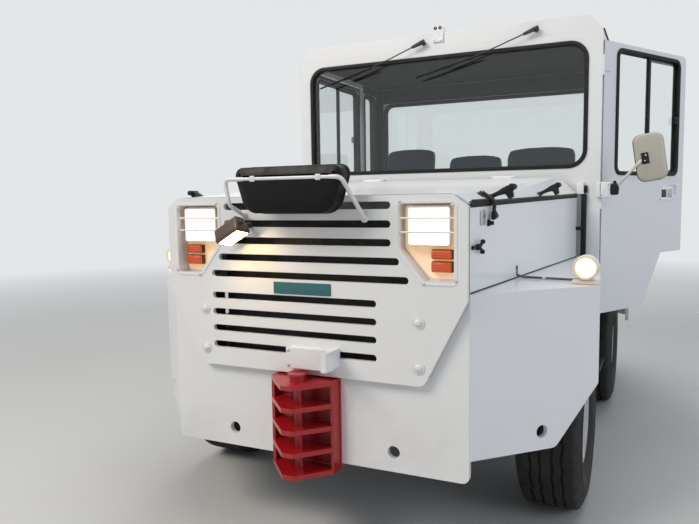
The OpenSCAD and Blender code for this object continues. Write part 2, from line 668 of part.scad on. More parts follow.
// Rear body: deck, chamfered corner plates and rear plate behind the cab
rear_low = 450;
corner = 300;
arch_y = rear_axle_y + tyre_r + 60;
deck_y = rear_axle_y + 180;
module rear_body() color(white_paint) {
    // rear plate
    facing(rounded(whole([[body_h - corner, plate_low_z + 60, 30], [body_h - corner, platform_z, 0]])),
        body_l - plate_t, plate_t);
    both_sides() {
        // chamfered corner and side plates
        lying([[body_h - corner - 1, body_l], [body_h, body_l - corner], [body_h - plate_t, body_l - corner],
            [body_h - corner - 1, body_l - plate_t]], rear_low, platform_z - rear_low);
        sideways(rounded([[arch_y, rear_low, 20], [body_l - corner + 1, rear_low, 0],
            [body_l - corner + 1, platform_z, 0], [deck_y, platform_z, 0], [deck_y, platform_z - 70, 0],
            [arch_y - 160, platform_z - 70, 20]]), body_h - plate_t, plate_t);
        // shelf beside the cab
        lying([[cab_h + 8, deck_y], [body_h, deck_y], [body_h, cab_rear_y + 1], [cab_h + 8, cab_rear_y + 1]],
            platform_z - 12, 12);
    }
    // deck
    lying([[-body_h, cab_rear_y], [body_h, cab_rear_y], [body_h, body_l - corner],
        [body_h - corner, body_l], [corner - body_h, body_l], [-body_h, body_l - corner]],
        platform_z - 12, 12);
}

// Jaw plates: short straight sides at the plate, long slanted sides and a narrow nose
nose = 0.17 * coupling_h;
shoulder = 0.33;
module jaw_outline(reach) polygon(rounded([[-coupling_h, 0, 0], [-coupling_h, -shoulder * reach, 0],
    [-nose, -reach, 18], [nose, -reach, 18], [coupling_h, -shoulder * reach, 0], [coupling_h, 0, 0]]));
module coupling(n, reach, top, pin_y) difference() {
    union() {
        for (i = [0:n]) translate([0, 0, top - jaw_t - i * jaw_pitch]) linear_extrude(jaw_t)
            jaw_outline(reach);
        for (s = [-1, 1])
            translate([s * (coupling_h - 7) - 7, -shoulder * reach, top - n * jaw_pitch - jaw_t])
                cube([14, shoulder * reach, n * jaw_pitch + jaw_t]);
        translate([-coupling_h, -16, top - n * jaw_pitch - jaw_t])
            cube([2 * coupling_h, 16, n * jaw_pitch + jaw_t]);
    }
    translate([0, pin_y, 0]) cylinder(h = 3 * top, r = pin_r + 1, center = true);
}
module front_coupling() color(red_paint) coupling(jaws, coupling_reach, coupling_top, coupling_pin_y);
module rear_coupling() color(red_paint) translate([0, body_l, 0]) mirror([0, 1, 0])
    coupling(rear_jaws, rear_reach, rear_top, -0.55 * rear_reach);

// Drop pin with its collar
module coupling_pin() color(red_paint) translate([0, coupling_pin_y, 0]) {
    translate([0, 0, coupling_low - 12]) cylinder(h = coupling_top + 12 - coupling_low, r = pin_r);
    translate([0, 0, coupling_top]) cylinder(h = 24, r = 36);
    translate([0, 0, coupling_top + 22]) cylinder(h = 10, r = 43);
}

// Lenses of the headlamps and the round marker lamps on the ledges
lens_x = [462, 640];
lens_z = [1270, 1427];
module lamp_lenses() color("#fff4dc") {
    both_sides() facing(rect(lens_x[0], lens_z[0], lens_x[1], lens_z[1], 14), -10,
        panel_y + tray_depth - 1 + 10 - seat_fit);
    both_sides() translate(marker) rotate([90, 0, 0]) rotate_extrude()
        polygon([[0, 0], [marker_r - 10, 0], [marker_r - 10, 12], [marker_r - 18, 22], [marker_r - 30, 28],
            [0, 31]]);
}

// Amber lamps under the headlamps
module turn_lamps() color(amber) both_sides() for (z = [[1168, 1207], [1220, 1254]])
    facing(rect(558, z[0], 640, z[1], 6), -2, panel_y + tray_depth - 1 + 2 - seat_fit);

// Red and amber lamps on the rear plate
module tail_lamps() color(red_paint) both_sides() translate([cab_h - 410, body_l, platform_z - 150])
    cube([200, 40, 90]);

// Work lamp that hangs from the mirror's hoop and lights the grille and the coupling
work_at = [-300, -120, panel_top_z - 148];
work_foot = [-262, panel_y - panel_t - seat_fit, panel_top_z - 121];
module work_lamp() color("#4a2c1c") {
    translate(work_at) rotate([-13, -30, 0]) rotate([90, 0, 90]) linear_extrude(130, center = true)
        polygon(rounded([[-46, -30, 8], [46, -30, 8], [30, 40, 18], [-30, 40, 18]]));
    bar(work_at, work_foot - [0, 5, 0], 7);
    translate(work_foot) rotate([90, 0, 0]) cylinder(h = 8, r = 14);
}

// Front blind-spot mirror: rounded shell on a tube hoop
hoop_foot_y = panel_y - panel_t - seat_fit;
hoop_feet = [[-290, panel_top_z - 78], [290, panel_top_z - 93]];
hoop_z = panel_top_z + 72;
module front_mirror() {
    color(white_paint) {
        rod([[hoop_feet[0][0], hoop_foot_y - 8, hoop_feet[0][1]], [-250, hoop_y, hoop_z - 105],
            [-270, hoop_y, hoop_z], [265, hoop_y, hoop_z],
            [hoop_feet[1][0], hoop_foot_y - 8, hoop_feet[1][1]]], hoop_r);
        for (foot = hoop_feet) translate([foot[0], hoop_foot_y, foot[1]]) rotate([90, 0, 0])
            cylinder(h = 9, r = 16);
    }
    // two clips hold the shell behind the tube
    color(steel) for (x = [-130, 170]) translate([x, hoop_y, hoop_z]) rotate([-90, 0, 0])
        cylinder(h = shell_r, r = 7);
    color(rubber) translate([20, hoop_y + shell_r + hoop_r + 4, hoop_z]) hull() for (x = [-1, 1]) {
        translate([x * 205, 0, 0]) sphere(shell_r, $fn = 32);
        translate([x * 170, 10, -95]) sphere(44, $fn = 32);
    }
}

// Left side mirror on its bracket at the front post
side_mirror_z = ledge_z + 365;
module side_mirror() {
    color(white_paint) {
        translate([cab_h + seat_fit, cab_y - 60, side_mirror_z]) cube([62, 50, 90]);
        translate([cab_h - 20, cab_y - 60, side_mirror_z]) cube([30, 60, 90]);
        rod([[cab_h + 96, cab_y - 40, side_mirror_z + 60], [cab_h + 130, cab_y - 90, side_mirror_z + 98],
            [cab_h + 220, cab_y - 158, side_mirror_z + 196],
            [cab_h + 240, cab_y - 128, side_mirror_z + 218]], 8);
    }
    color(rubber) translate([cab_h + 62, cab_y - 65, side_mirror_z + 12]) cube([45, 60, 70]);
    color("#e9e2d2") translate([cab_h + 276, cab_y - 120, side_mirror_z + 225]) rotate([0, -9, 12])
        hull() for (x = [-1, 1]) for (z = [-1, 1]) translate([x * 36, 0, z * 90]) rotate([90, 0, 0])
            cylinder(h = 40, r = 45, center = true, $fn = 24);
}

// Wipers below the roof's front edge: [pivot, arm end, blade ends] in X and below the roof
wiper_rows = [[[-90, 58], [-340, 150], [-440, 192], [-840, 300]],
    [[641, 56], [365, 152], [288, 187], [-125, 287]]];
function wiper_at(p, y) = [p[0], y, roof_z - p[1]];
module wipers() color(rubber) for (w = wiper_rows) {
    y = cab_y - 40;
    bar(wiper_at(w[0], cab_y - seat_fit), wiper_at(w[0], y - 12), 16);
    bar(wiper_at(w[0], y), wiper_at(w[1], y), 9);
    bar(wiper_at(w[1], y), wiper_at((w[2] + w[3]) / 2, y + 12), 5);
    bar(wiper_at(w[2], y + 16), wiper_at(w[3], y + 16), 7);
}

place() frame_rails();
place() springs();
place() front_plate();
place() wing_plates();
place() ledges();
place() grille_panel();
place() radiator();
place() engine_block();
place() propshaft();
place() front_axle();
place() knuckle_left();
place() knuckle_right();
place() rear_axle();
place() tyre_fl();
place() tyre_fr();
place() tyre_rl();
place() tyre_rr();
place() rim_fl();
place() rim_fr();
place() rim_rl();
place() rim_rr();
place() hood_sides();
place() hood_lid();
place() cab_floor();
place() cab_steps();
place() cab_front();
place() cab_sides();
place() cab_rear();
place() cab_roof();
place() cab_glass();
place() door_left();
place() door_left_glass();
place() door_right();
place() door_right_glass();
place() dashboard();
place() steering_wheel();
place() seats();
place() rear_body();
place() front_coupling();
place() coupling_pin();
place() rear_coupling();
place() lamp_lenses();
place() turn_lamps();
place() tail_lamps();
place() work_lamp();
place() front_mirror();
place() side_mirror();
place() wipers();
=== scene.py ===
# Dresses the tractor: enamel, rubber seals, glass, lamps, latches, padded seats and tyre tread.
# Metres. Pieces are modelled in the tractor's own frame: x left of the centreline, y back from the
# front plate, z up from a datum 70 mm over the floor. keep() then moves each mesh to its place and
# hangs it on its body.
import math

import bmesh
import bpy
from mathutils import Matrix, Vector

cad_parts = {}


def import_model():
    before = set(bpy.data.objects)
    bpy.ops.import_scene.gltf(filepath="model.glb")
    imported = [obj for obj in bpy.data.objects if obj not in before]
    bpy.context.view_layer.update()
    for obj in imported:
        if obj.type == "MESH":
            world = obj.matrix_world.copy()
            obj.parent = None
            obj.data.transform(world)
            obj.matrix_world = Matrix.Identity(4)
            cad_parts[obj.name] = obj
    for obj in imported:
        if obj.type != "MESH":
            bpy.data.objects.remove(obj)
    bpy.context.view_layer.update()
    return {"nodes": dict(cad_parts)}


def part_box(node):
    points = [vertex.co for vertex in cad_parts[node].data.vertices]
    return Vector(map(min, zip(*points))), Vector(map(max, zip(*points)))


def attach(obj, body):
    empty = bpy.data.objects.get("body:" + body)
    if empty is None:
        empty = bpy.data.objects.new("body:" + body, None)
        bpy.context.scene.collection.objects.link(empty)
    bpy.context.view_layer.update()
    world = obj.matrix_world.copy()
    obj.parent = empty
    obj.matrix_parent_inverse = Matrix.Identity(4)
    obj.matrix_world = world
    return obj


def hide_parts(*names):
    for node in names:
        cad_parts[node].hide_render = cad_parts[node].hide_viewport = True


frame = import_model()
NODES = frame["nodes"]

# Sizes of the built tractor that the added pieces line up with
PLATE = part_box("front_plate")
CENTRE_X = (PLATE[0].x + PLATE[1].x) / 2
FACE_Y = PLATE[0].y
DATUM_Z = PLATE[1].z - 1.085
PANEL_FACE = -0.032
SEAM_FRONT = 1.427
SEAM_REAR = 1.457
CAB_HALF = 1.03
CAB_Y = 1.83
CAB_REAR = 3.22
WALL = 0.045
HINGE = Vector((1.036, 1.881, 0))
DOOR_REST = 29


# Colours and materials

def linear(code):
    """An sRGB hex colour as the linear values that a node takes"""
    parts = [int(code[i:i + 2], 16) / 255 for i in (1, 3, 5)]
    return tuple(c / 12.92 if c <= 0.04045 else ((c + 0.055) / 1.055) ** 2.4 for c in parts) + (1.0,)


def feed(node, name, value):
    """Gives a node's input a value or another node's output"""
    if isinstance(value, bpy.types.NodeSocket):
        node.id_data.links.new(value, node.inputs[name])
    else:
        node.inputs[name].default_value = value


def add(tree, kind, inputs=None, **settings):
    """Adds a node with its settings and what its inputs take"""
    made = tree.nodes.new(kind)
    for name, value in settings.items():
        setattr(made, name, value)
    for name, value in (inputs or {}).items():
        feed(made, name, value)
    return made


def finish(name, **inputs):
    """A material with one Principled shader; returns it with its tree and shader"""
    mat = bpy.data.materials.new(name)
    mat.use_nodes = True
    tree = mat.node_tree
    shader = tree.nodes["Principled BSDF"]
    for key, value in inputs.items():
        feed(shader, key.replace("_", " "), value)
    return mat, tree, shader


def here(tree):
    """The shaded point in the piece's own metres"""
    return add(tree, "ShaderNodeTexCoord").outputs["Object"]


def calc(tree, operation, one, two):
    return add(tree, "ShaderNodeMath", {0: one, 1: two}, operation=operation).outputs[0]


def spots(tree, size_mm, detail=3.0, rough=0.5):
    """Noise whose spots are about size_mm across, from 0 to 1"""
    return add(tree, "ShaderNodeTexNoise", {"Vector": here(tree), "Scale": 1000 / size_mm,
               "Detail": detail, "Roughness": rough}).outputs["Fac"]


def between(tree, fac, low, high, to_low=0.0, to_high=1.0):
    return add(tree, "ShaderNodeMapRange", {"Value": fac, "From Min": low, "From Max": high,
               "To Min": to_low, "To Max": to_high}).outputs["Result"]


def blend_colour(tree, fac, one, two):
    return add(tree, "ShaderNodeMix", {0: fac, 6: one, 7: two}, data_type="RGBA").outputs[2]


def either_shader(tree, fac, one, two):
    """The first shader where fac is 0, and the second where it is 1"""
    return add(tree, "ShaderNodeMixShader", {0: fac, 1: one.outputs[0], 2: two.outputs[0]}).outputs[0]


def tint(shader, fac, code, second):
    """Colours a shader from one code to the other"""
    feed(shader, "Base Color", blend_colour(shader.id_data, fac, linear(code), linear(second)))


def bump(tree, shader, height, depth_mm, strength=1.0):
    made = add(tree, "ShaderNodeBump", {"Height": height, "Strength": strength, "Distance": depth_mm / 1000})
    feed(shader, "Normal", made.outputs["Normal"])


def enamel(name, code, dirt_code, dirt_top, dirt=0.35):
    """Two-pack enamel sprayed on steel sheet: glossy, soft at folded edges, with grime that thins upwards"""
    mat, tree, shader = finish(name, Roughness=0.24, Coat_Weight=0.3, Coat_Roughness=0.08)
    height = add(tree, "ShaderNodeSeparateXYZ", {"Vector": here(tree)}).outputs["Z"]
    low = between(tree, height, dirt_top, 0.2)
    cloud = between(tree, spots(tree, 260, 6.0, 0.62), 0.42, 0.72)
    film = calc(tree, "MULTIPLY", calc(tree, "MULTIPLY", low, cloud), dirt)
    tint(shader, film, code, dirt_code)
    feed(shader, "Roughness", between(tree, spots(tree, 320), 0.2, 0.8, 0.29, 0.35))
    soft = add(tree, "ShaderNodeBevel", {"Radius": 0.0025}, samples=4)
    feed(shader, "Normal", soft.outputs["Normal"])
    return mat


def moulded(name, code, roughness, grain_mm=1.2, depth_mm=0.15, dusty=0.15, shine=0.5):
    """Moulded plastic or rubber: fine grain, with dull and dusty patches"""
    mat, tree, shader = finish(name, Roughness=roughness, Specular_IOR_Level=shine)
    dust = between(tree, spots(tree, 120, 5.0, 0.6), 0.45, 0.8, 0.0, dusty)
    tint(shader, dust, code, "#5a5854")
    feed(shader, "Roughness", between(tree, spots(tree, 40, 3.0), 0.3, 0.7, roughness - 0.08, roughness + 0.1))
    bump(tree, shader, spots(tree, grain_mm, 2.0), depth_mm, 0.6)
    return mat


def tread_rubber():
    """Vulcanised tyre rubber: near black, grey with road dust on the tread and in the ribs"""
    mat, tree, shader = finish("tyre_rubber_vulcanised", Roughness=0.82)
    dust = between(tree, spots(tree, 90, 7.0, 0.65), 0.38, 0.78, 0.0, 0.5)
    tint(shader, dust, "#121213", "#3d3a37")
    bump(tree, shader, spots(tree, 4, 4.0), 0.6, 0.7)
    return mat


def chassis_paint(name, code="#17181a"):
    """Brushed chassis paint on rolled steel: satin black with rusty dust"""
    mat, tree, shader = finish(name, Roughness=0.55)
    dust = between(tree, spots(tree, 70, 7.0, 0.65), 0.45, 0.85, 0.0, 0.6)
    tint(shader, dust, code, "#5b4a3c")
    feed(shader, "Roughness", between(tree, spots(tree, 25, 4.0), 0.3, 0.7, 0.42, 0.7))
    bump(tree, shader, spots(tree, 9, 4.0), 0.5, 0.5)
    return mat


def metal(name, code, roughness, grain_mm=14):
    """Bare or plated metal with faint smears"""
    mat, tree, shader = finish(name, Metallic=1.0, Base_Color=linear(code))
    feed(shader, "Roughness", between(tree, spots(tree, grain_mm, 5.0), 0.3, 0.75, roughness, roughness + 0.18))
    bump(tree, shader, spots(tree, 3, 2.0), 0.08, 0.4)
    return mat


def pane(name, code):
    """Toughened float glass, 8 mm: clear with a green-grey tint, and lamps light what is behind it"""
    mat, tree, shader = finish(name, Base_Color=linear(code), Roughness=0.0, IOR=1.45, Transmission_Weight=1.0)
    path = add(tree, "ShaderNodeLightPath")
    clear = add(tree, "ShaderNodeBsdfTransparent", {"Color": linear(code)})
    mixed = either_shader(tree, path.outputs["Is Shadow Ray"], shader, clear)
    feed(tree.nodes["Material Output"], "Surface", mixed)
    return mat


def lit(name, code, strength):
    """A lit lens: pressed glass over a burning bulb. The lamp trays use it too: there it is painted lamplight, a glow
    on the enamel that is no lamp
    """
    mat, tree, shader = finish(name, Base_Color=linear("#f4efe2"), Roughness=0.12,
                               Emission_Color=linear(code), Emission_Strength=strength)
    bump(tree, shader, add(tree, "ShaderNodeTexWave", {"Scale": 40.0, "Distortion": 0.0,
         "Vector": here(tree)}).outputs["Fac"], 1.0, 0.6)
    return mat


def lens(name, code, glow, strength):
    """Injection-moulded acrylic lens with pressed ribs"""
    mat, tree, shader = finish(name, Base_Color=linear(code), Roughness=0.12, Coat_Weight=0.5,
                               Emission_Color=linear(glow), Emission_Strength=strength)
    ribs = add(tree, "ShaderNodeTexWave", {"Vector": here(tree), "Scale": 36.0}, bands_direction="X")
    tint(shader, between(tree, ribs.outputs["Fac"], 0.2, 0.9, 0.0, 0.5), code, "#7d2408")
    bump(tree, shader, ribs.outputs["Fac"], 1.5, 0.8)
    return mat


def cloth(name, code, second):
    """Woven seat cloth with a 4 mm rib, which the eye reads as a soft dark blue"""
    mat, tree, shader = finish(name, Roughness=0.92, Sheen_Weight=0.35, Sheen_Roughness=0.5)
    warp, weft = (add(tree, "ShaderNodeTexWave", {"Vector": here(tree), "Scale": 80.0, "Distortion": 0.6},
                      bands_direction=way).outputs["Fac"] for way in "XZ")
    weave = calc(tree, "MULTIPLY", warp, weft)
    worn = between(tree, spots(tree, 150, 5.0, 0.6), 0.4, 0.75, 0.0, 0.5)
    tone = blend_colour(tree, weave, linear(code), linear(second))
    feed(shader, "Base Color", blend_colour(tree, worn, tone, linear("#2a3a4a")))
    bump(tree, shader, weave, 0.8, 0.7)
    return mat


WHITE = enamel("enamel_on_steel_white", "#e6e8ea", "#a39c90", 0.75)
WHITE_CHASSIS = enamel("enamel_on_rim_white", "#dfe0e0", "#7b736a", 0.95, 0.75)
RED = enamel("enamel_on_casting_red", "#a51219", "#5e0d10", 0.75, 0.5)
BLACK_PAINT = chassis_paint("chassis_paint_black")
CAST_IRON = chassis_paint("cast_iron_grey", "#585c60")
TYRE = tread_rubber()
SEAL = moulded("epdm_rubber_black", "#101113", 0.6, shine=0.3)
PLASTIC = moulded("abs_grained_black", "#1c1d20", 0.5)
SHELL = moulded("abs_polished_black", "#0a0b0c", 0.42, 6.0, 0.05, 0.03, 0.2)
CREAM = moulded("abs_cream", "#ddd8cc", 0.38, 2.0, 0.05)
# Dark felt: the ceiling's liner; the same sheets darken the rear wall and side frames, and on the doors' inner upper
# frames they are painted shade
FELT_AND_PAINTED_SHADE = moulded("felt_liner_and_painted_shade", "#2a2b2e", 0.95, 6.0, 0.02, 0.1, 0.2)
ZINC = metal("zinc_plated_steel", "#b9bcc0", 0.3)
CHROME = metal("chrome_plated_brass", "#dfe2e5", 0.08)
MIRROR = metal("silvered_mirror_glass", "#eef1f3", 0.02, 200)
GLASS = pane("float_glass_clear", "#f1f5f4")
HEADLIGHT = lit("pressed_glass_lit", "#ffe9c4", 1.5)
MARKER = lit("opal_glass_lit", "#ffe0b8", 1.35)
WORK_LIGHT = lit("halogen_lens_lit", "#ffd08a", 30.0)
# The lamp trays' floor glows yellow: painted lamplight from the headlamps, not a lamp of its own
TRAY_PAINTED_GLOW = lit("enamel_tray_painted_lamplight", "#f0a840", 0.5)
# Warm enamel on the marker rims and the plate under the marker lamps: partly the enamel's own cream, partly painted
# orange lamplight from the markers
RIM_CREAM_AND_PAINTED_LAMPLIGHT = enamel("cream_enamel_painted_lamplight", "#e9d9c4", "#8b6f55", 0.9)
AMBER = lens("acrylic_amber", "#c8480f", "#e0561a", 0.25)
TAIL_RED = lens("acrylic_red", "#a60d12", "#a60d12", 0.08)
BROWN = enamel("baked_enamel_brown", "#4b3023", "#2d1c14", 0.75)
TEAL = enamel("vitreous_enamel_teal", "#1f6168", "#12383d", 0.75)
CLOTH = cloth("woven_wool_blend_blue", "#0f1b2a", "#1e3247")
PIPING = moulded("welt_cord_black", "#1a1c20", 0.6, 1.5)
PUTTY = moulded("abs_putty_grey", "#b4b0a3", 0.4, 2.0, 0.06)


# Modelling helpers

def nothing():
    """Leaves no object selected, so that a new primitive or an operator acts alone"""
    bpy.ops.object.select_all(action="DESELECT")


def all_faces():
    bpy.ops.mesh.select_all(action="SELECT")


def alone(piece):
    nothing()
    piece.select_set(True)
    bpy.context.view_layer.objects.active = piece
    return piece


def applied(piece):
    alone(piece)
    bpy.ops.object.transform_apply(location=True, rotation=True, scale=True)
    return piece


def modify(piece, kind, **settings):
    alone(piece)
    made = piece.modifiers.new(kind.lower(), kind)
    for name, value in settings.items():
        setattr(made, name, value)
    bpy.ops.object.modifier_apply(modifier=made.name)
    return piece


def rounded(piece, width, segments=3, angle=40):
    return modify(piece, "BEVEL", width=width, segments=segments, limit_method="ANGLE",
                  angle_limit=math.radians(angle), harden_normals=False)


def block(low, high, edge=0.0, segments=3):
    """A box from corner to corner with rounded edges"""
    nothing()
    bpy.ops.mesh.primitive_cube_add(size=1, location=[(a + b) / 2 for a, b in zip(low, high)],
                                    scale=[b - a for a, b in zip(low, high)])
    piece = applied(bpy.context.object)
    return rounded(piece, edge, segments) if edge else piece


TURNS = {"x": (0, math.pi / 2, 0), "y": (-math.pi / 2, 0, 0), "z": (0, 0, 0),
         "-x": (0, -math.pi / 2, 0), "-y": (math.pi / 2, 0, 0), "-z": (math.pi, 0, 0)}


def drum(radius, depth, at, toward="y", sides=32, edge=0.0, top=None):
    """A disc or cylinder centred at a point; top gives the radius of the far end"""
    nothing()
    bpy.ops.mesh.primitive_cone_add(vertices=sides, radius1=radius, radius2=radius if top is None else top,
                                    depth=depth, location=at, rotation=TURNS[toward])
    piece = applied(bpy.context.object)
    return rounded(piece, edge, 3) if edge else piece


def dome(radius, at, scale, toward="y", sides=24):
    """Half a ball, flattened, that bulges away from the point"""
    nothing()
    bpy.ops.mesh.primitive_uv_sphere_add(segments=sides, ring_count=12, radius=radius, location=(0, 0, 0))
    piece = bpy.context.object
    edit(piece)
    all_faces()
    bpy.ops.mesh.bisect(plane_co=(0, 0, 0), plane_no=(0, 0, 1), clear_inner=True, use_fill=True)
    done()
    piece.scale = (1, 1, scale)
    piece.rotation_euler = TURNS[toward]
    piece.location = at
    return applied(piece)


def edit(piece):
    alone(piece)
    bpy.ops.object.mode_set(mode="EDIT")


def done():
    bpy.ops.object.mode_set(mode="OBJECT")


def face_out():
    """Points every face outwards and leaves edit mode"""
    all_faces()
    bpy.ops.mesh.normals_make_consistent(inside=False)
    done()


def thicken(thick):
    """Pushes the sheet that is being edited back by its thickness"""
    all_faces()
    bpy.ops.mesh.extrude_region_move(TRANSFORM_OT_translate={"value": (0, thick, 0)})
    face_out()


def pick_faces(piece, test):
    """Selects the faces whose centre and normal pass the test; the piece is in edit mode"""
    bpy.ops.mesh.select_all(action="DESELECT")
    bpy.ops.mesh.select_mode(type="FACE")
    shape = bmesh.from_edit_mesh(piece.data)
    for face in shape.faces:
        face.select_set(test(face.calc_center_median(), face.normal))
    bmesh.update_edit_mesh(piece.data)


def flat(outline, y, corner, segments):
    """One face from an outline of x and z, with its corners rounded; it stays in edit mode"""
    nothing()
    bpy.ops.mesh.primitive_circle_add(vertices=len(outline), radius=1, fill_type="NGON", location=(0, 0, 0))
    piece = bpy.context.object
    for vertex, (x, z) in zip(piece.data.vertices, outline):
        vertex.co = (x, y, z)
    edit(piece)
    all_faces()
    if corner:
        bpy.ops.mesh.bevel(offset=corner, segments=segments, affect="VERTICES")
    return piece


def sheet_outline(outline, y, thick, corner=0.0, segments=6):
    """A plate from an outline of x and z, its front at y, with its corners rounded"""
    piece = flat(outline, y, corner, segments)
    thicken(thick)
    return piece


def box_outline(x0, z0, x1, z1, more=0.0):
    """The corners of a rectangle, grown all round by more"""
    x0, z0, x1, z1 = x0 - more, z0 - more, x1 + more, z1 + more
    return [(x0, z0), (x1, z0), (x1, z1), (x0, z1)]


def ring(outline, width, y, thick, corner, edge=0.0, segments=8):
    """A closed band of that width inside an outline, its front at y"""
    piece = flat(outline, y, corner, segments)
    bpy.ops.mesh.select_mode(type="FACE")
    all_faces()
    bpy.ops.mesh.inset(thickness=width, depth=0, use_boundary=True)
    bpy.ops.mesh.delete(type="FACE")
    thicken(thick)
    return rounded(piece, edge, 2, 60) if edge else piece


def tube(points, radius, sides=6, closed=False):
    """A round bar through points"""
    curve = bpy.data.curves.new("bar", "CURVE")
    curve.dimensions = "3D"
    curve.bevel_depth = radius
    curve.bevel_resolution = sides // 2
    curve.use_fill_caps = True
    spline = curve.splines.new("POLY")
    spline.points.add(len(points) - 1)
    for place, point in zip(spline.points, points):
        place.co = (*point, 1)
    spline.use_cyclic_u = closed
    piece = bpy.data.objects.new("bar", curve)
    bpy.context.scene.collection.objects.link(piece)
    alone(piece)
    bpy.ops.object.convert(target="MESH")
    return bpy.context.object


def eased(points, radius, steps=6):
    """Points with each corner replaced by an arc of about that radius"""
    way = [Vector(p) for p in points]
    out = [way[0]]
    for before, corner, after in zip(way, way[1:], way[2:]):
        reach = min(radius, (corner - before).length * 0.45, (after - corner).length * 0.45)
        start = corner + (before - corner).normalized() * reach
        end = corner + (after - corner).normalized() * reach
        for i in range(steps + 1):
            t = i / steps
            out.append(start.lerp(corner, t).lerp(corner.lerp(end, t), t))
    out.append(way[-1])
    return out


def turned(profile, sides=48):
    """A closed profile of reach and radius, turned about the x axis"""
    nothing()
    bpy.ops.mesh.primitive_circle_add(vertices=len(profile), radius=1, location=(0, 0, 0))
    piece = bpy.context.object
    for vertex, (x, radius) in zip(piece.data.vertices, profile):
        vertex.co = (x, 0, radius)
    edit(piece)
    all_faces()
    bpy.ops.mesh.spin(steps=sides, angle=2 * math.pi, center=(0, 0, 0), axis=(1, 0, 0))
    all_faces()
    bpy.ops.mesh.remove_doubles(threshold=1e-5)
    bpy.ops.mesh.dissolve_degenerate(threshold=1e-5)
    face_out()
    return piece


def moved(pieces, matrix):
    """A piece, or a list of them, with the mesh shifted and turned"""
    for piece in pieces if isinstance(pieces, list) else [pieces]:
        piece.data.transform(matrix)
        if matrix.determinant() < 0:
            piece.data.flip_normals()
    return pieces


def copied(piece, matrix=Matrix.Identity(4)):
    other = piece.copy()
    other.data = piece.data.copy()
    bpy.context.scene.collection.objects.link(other)
    return moved(other, matrix)


ACROSS = Matrix.Scale(-1, 4, (1, 0, 0))
shift = Matrix.Translation


def swung(axis, degrees):
    return Matrix.Rotation(math.radians(degrees), 4, axis)


def both(pieces):
    """The pieces and their mirror images on the other side, as a list"""
    pieces = pieces if isinstance(pieces, list) else [pieces]
    return pieces + [copied(piece, ACROSS) for piece in pieces]


def joined(pieces):
    nothing()
    for piece in pieces:
        piece.select_set(True)
    bpy.context.view_layer.objects.active = pieces[0]
    bpy.ops.object.join()
    return bpy.context.object


def dress(piece, material, smooth):
    """One finish all over, with edges sharper than so many degrees left hard"""
    piece.data.materials.clear()
    piece.data.materials.append(material)
    alone(piece)
    bpy.ops.object.shade_smooth_by_angle(angle=math.radians(smooth))


def keep(pieces, name, material, body="chassis", slot=None, smooth=35, replaces=()):
    """Joins the pieces, moves them to their place on the tractor and hangs them on their body"""
    piece = joined(pieces if isinstance(pieces, list) else [pieces])
    piece.name = name
    piece.data.name = name
    piece.data.transform(shift((CENTRE_X, FACE_Y, DATUM_Z)))
    dress(piece, material, smooth)
    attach(piece, body)
    if replaces:
        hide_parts(*replaces)
    return piece


def paint(material, *names):
    """Gives built nodes their finish"""
    for name in names:
        dress(NODES[name], material, 30)


# Finishes of the built pieces

paint(WHITE, "front_plate", "grille_panel", "hood_sides", "hood_lid", "cab_front", "cab_sides", "cab_rear",
      "cab_roof", "door_left", "door_right", "rear_body", "wing_plates", "ledges")
paint(BLACK_PAINT, "frame_rails", "springs", "front_axle", "knuckle_left", "knuckle_right", "rear_axle",
      "cab_floor", "cab_steps", "radiator")
paint(CAST_IRON, "engine_block", "propshaft")
paint(TYRE, "tyre_fl", "tyre_fr", "tyre_rl", "tyre_rr")
paint(WHITE_CHASSIS, "rim_fl", "rim_fr", "rim_rl", "rim_rr")
paint(GLASS, "cab_glass", "door_left_glass", "door_right_glass")
paint(PLASTIC, "dashboard", "steering_wheel", "wipers")
paint(RED, "front_coupling", "rear_coupling", "coupling_pin")
paint(HEADLIGHT, "lamp_lenses")
paint(AMBER, "turn_lamps")
paint(TAIL_RED, "tail_lamps")
paint(BROWN, "work_lamp")
paint(SHELL, "front_mirror")
paint(CREAM, "side_mirror")
paint(CLOTH, "seats")


# Places: sheets drawn in x and z at y = 0, which face -y, are turned to where they sit

FRONT = shift((0, CAB_Y, 0))
BACK = shift((0, CAB_REAR, 0)) @ swung("Z", 180)
LEFT_SIDE = shift((CAB_HALF, 0, 0)) @ swung("Z", 90)
RIGHT_SIDE = ACROSS @ LEFT_SIDE
OPEN = shift(HINGE) @ swung("Z", -DOOR_REST) @ shift(-HINGE)
LEFT_DOOR = OPEN @ LEFT_SIDE


# Window seals

def seal(name, body, corners, corner, place, depth=WALL):
    """EPDM seal round a pane: outer lip with its filler strip, and the lip on the inside"""
    edge = box_outline(*corners, 0.014)
    lips = [ring(edge, 0.026, -0.009, 0.021, corner + 0.012, 0.005),
            ring(edge, 0.026, 0.0205, depth - 0.0145, corner + 0.012, 0.004)]
    keep(moved(lips, place), name + "_seal", SEAL, body)
    filler = ring(box_outline(*corners, -0.002), 0.004, -0.0105, 0.004, corner)
    keep(moved(filler, place), name + "_seal_filler", SEAL, body)


SCREEN = (-0.938, 1.643, 0.938, 2.383)
REAR_WINDOW = (-0.915, 1.56, 0.915, 2.29)
QUARTER = (2.873, 1.6, 3.105, 2.35)
DOOR_WINDOW = (0.15, 1.6, 0.87, 2.353)
seal("windscreen", "chassis", SCREEN, 0.1, FRONT)
seal("rear_window", "chassis", REAR_WINDOW, 0.07, BACK)
seal("left_quarter", "chassis", QUARTER, 0.05, LEFT_SIDE)
seal("right_quarter", "chassis", QUARTER, 0.05, RIGHT_SIDE)


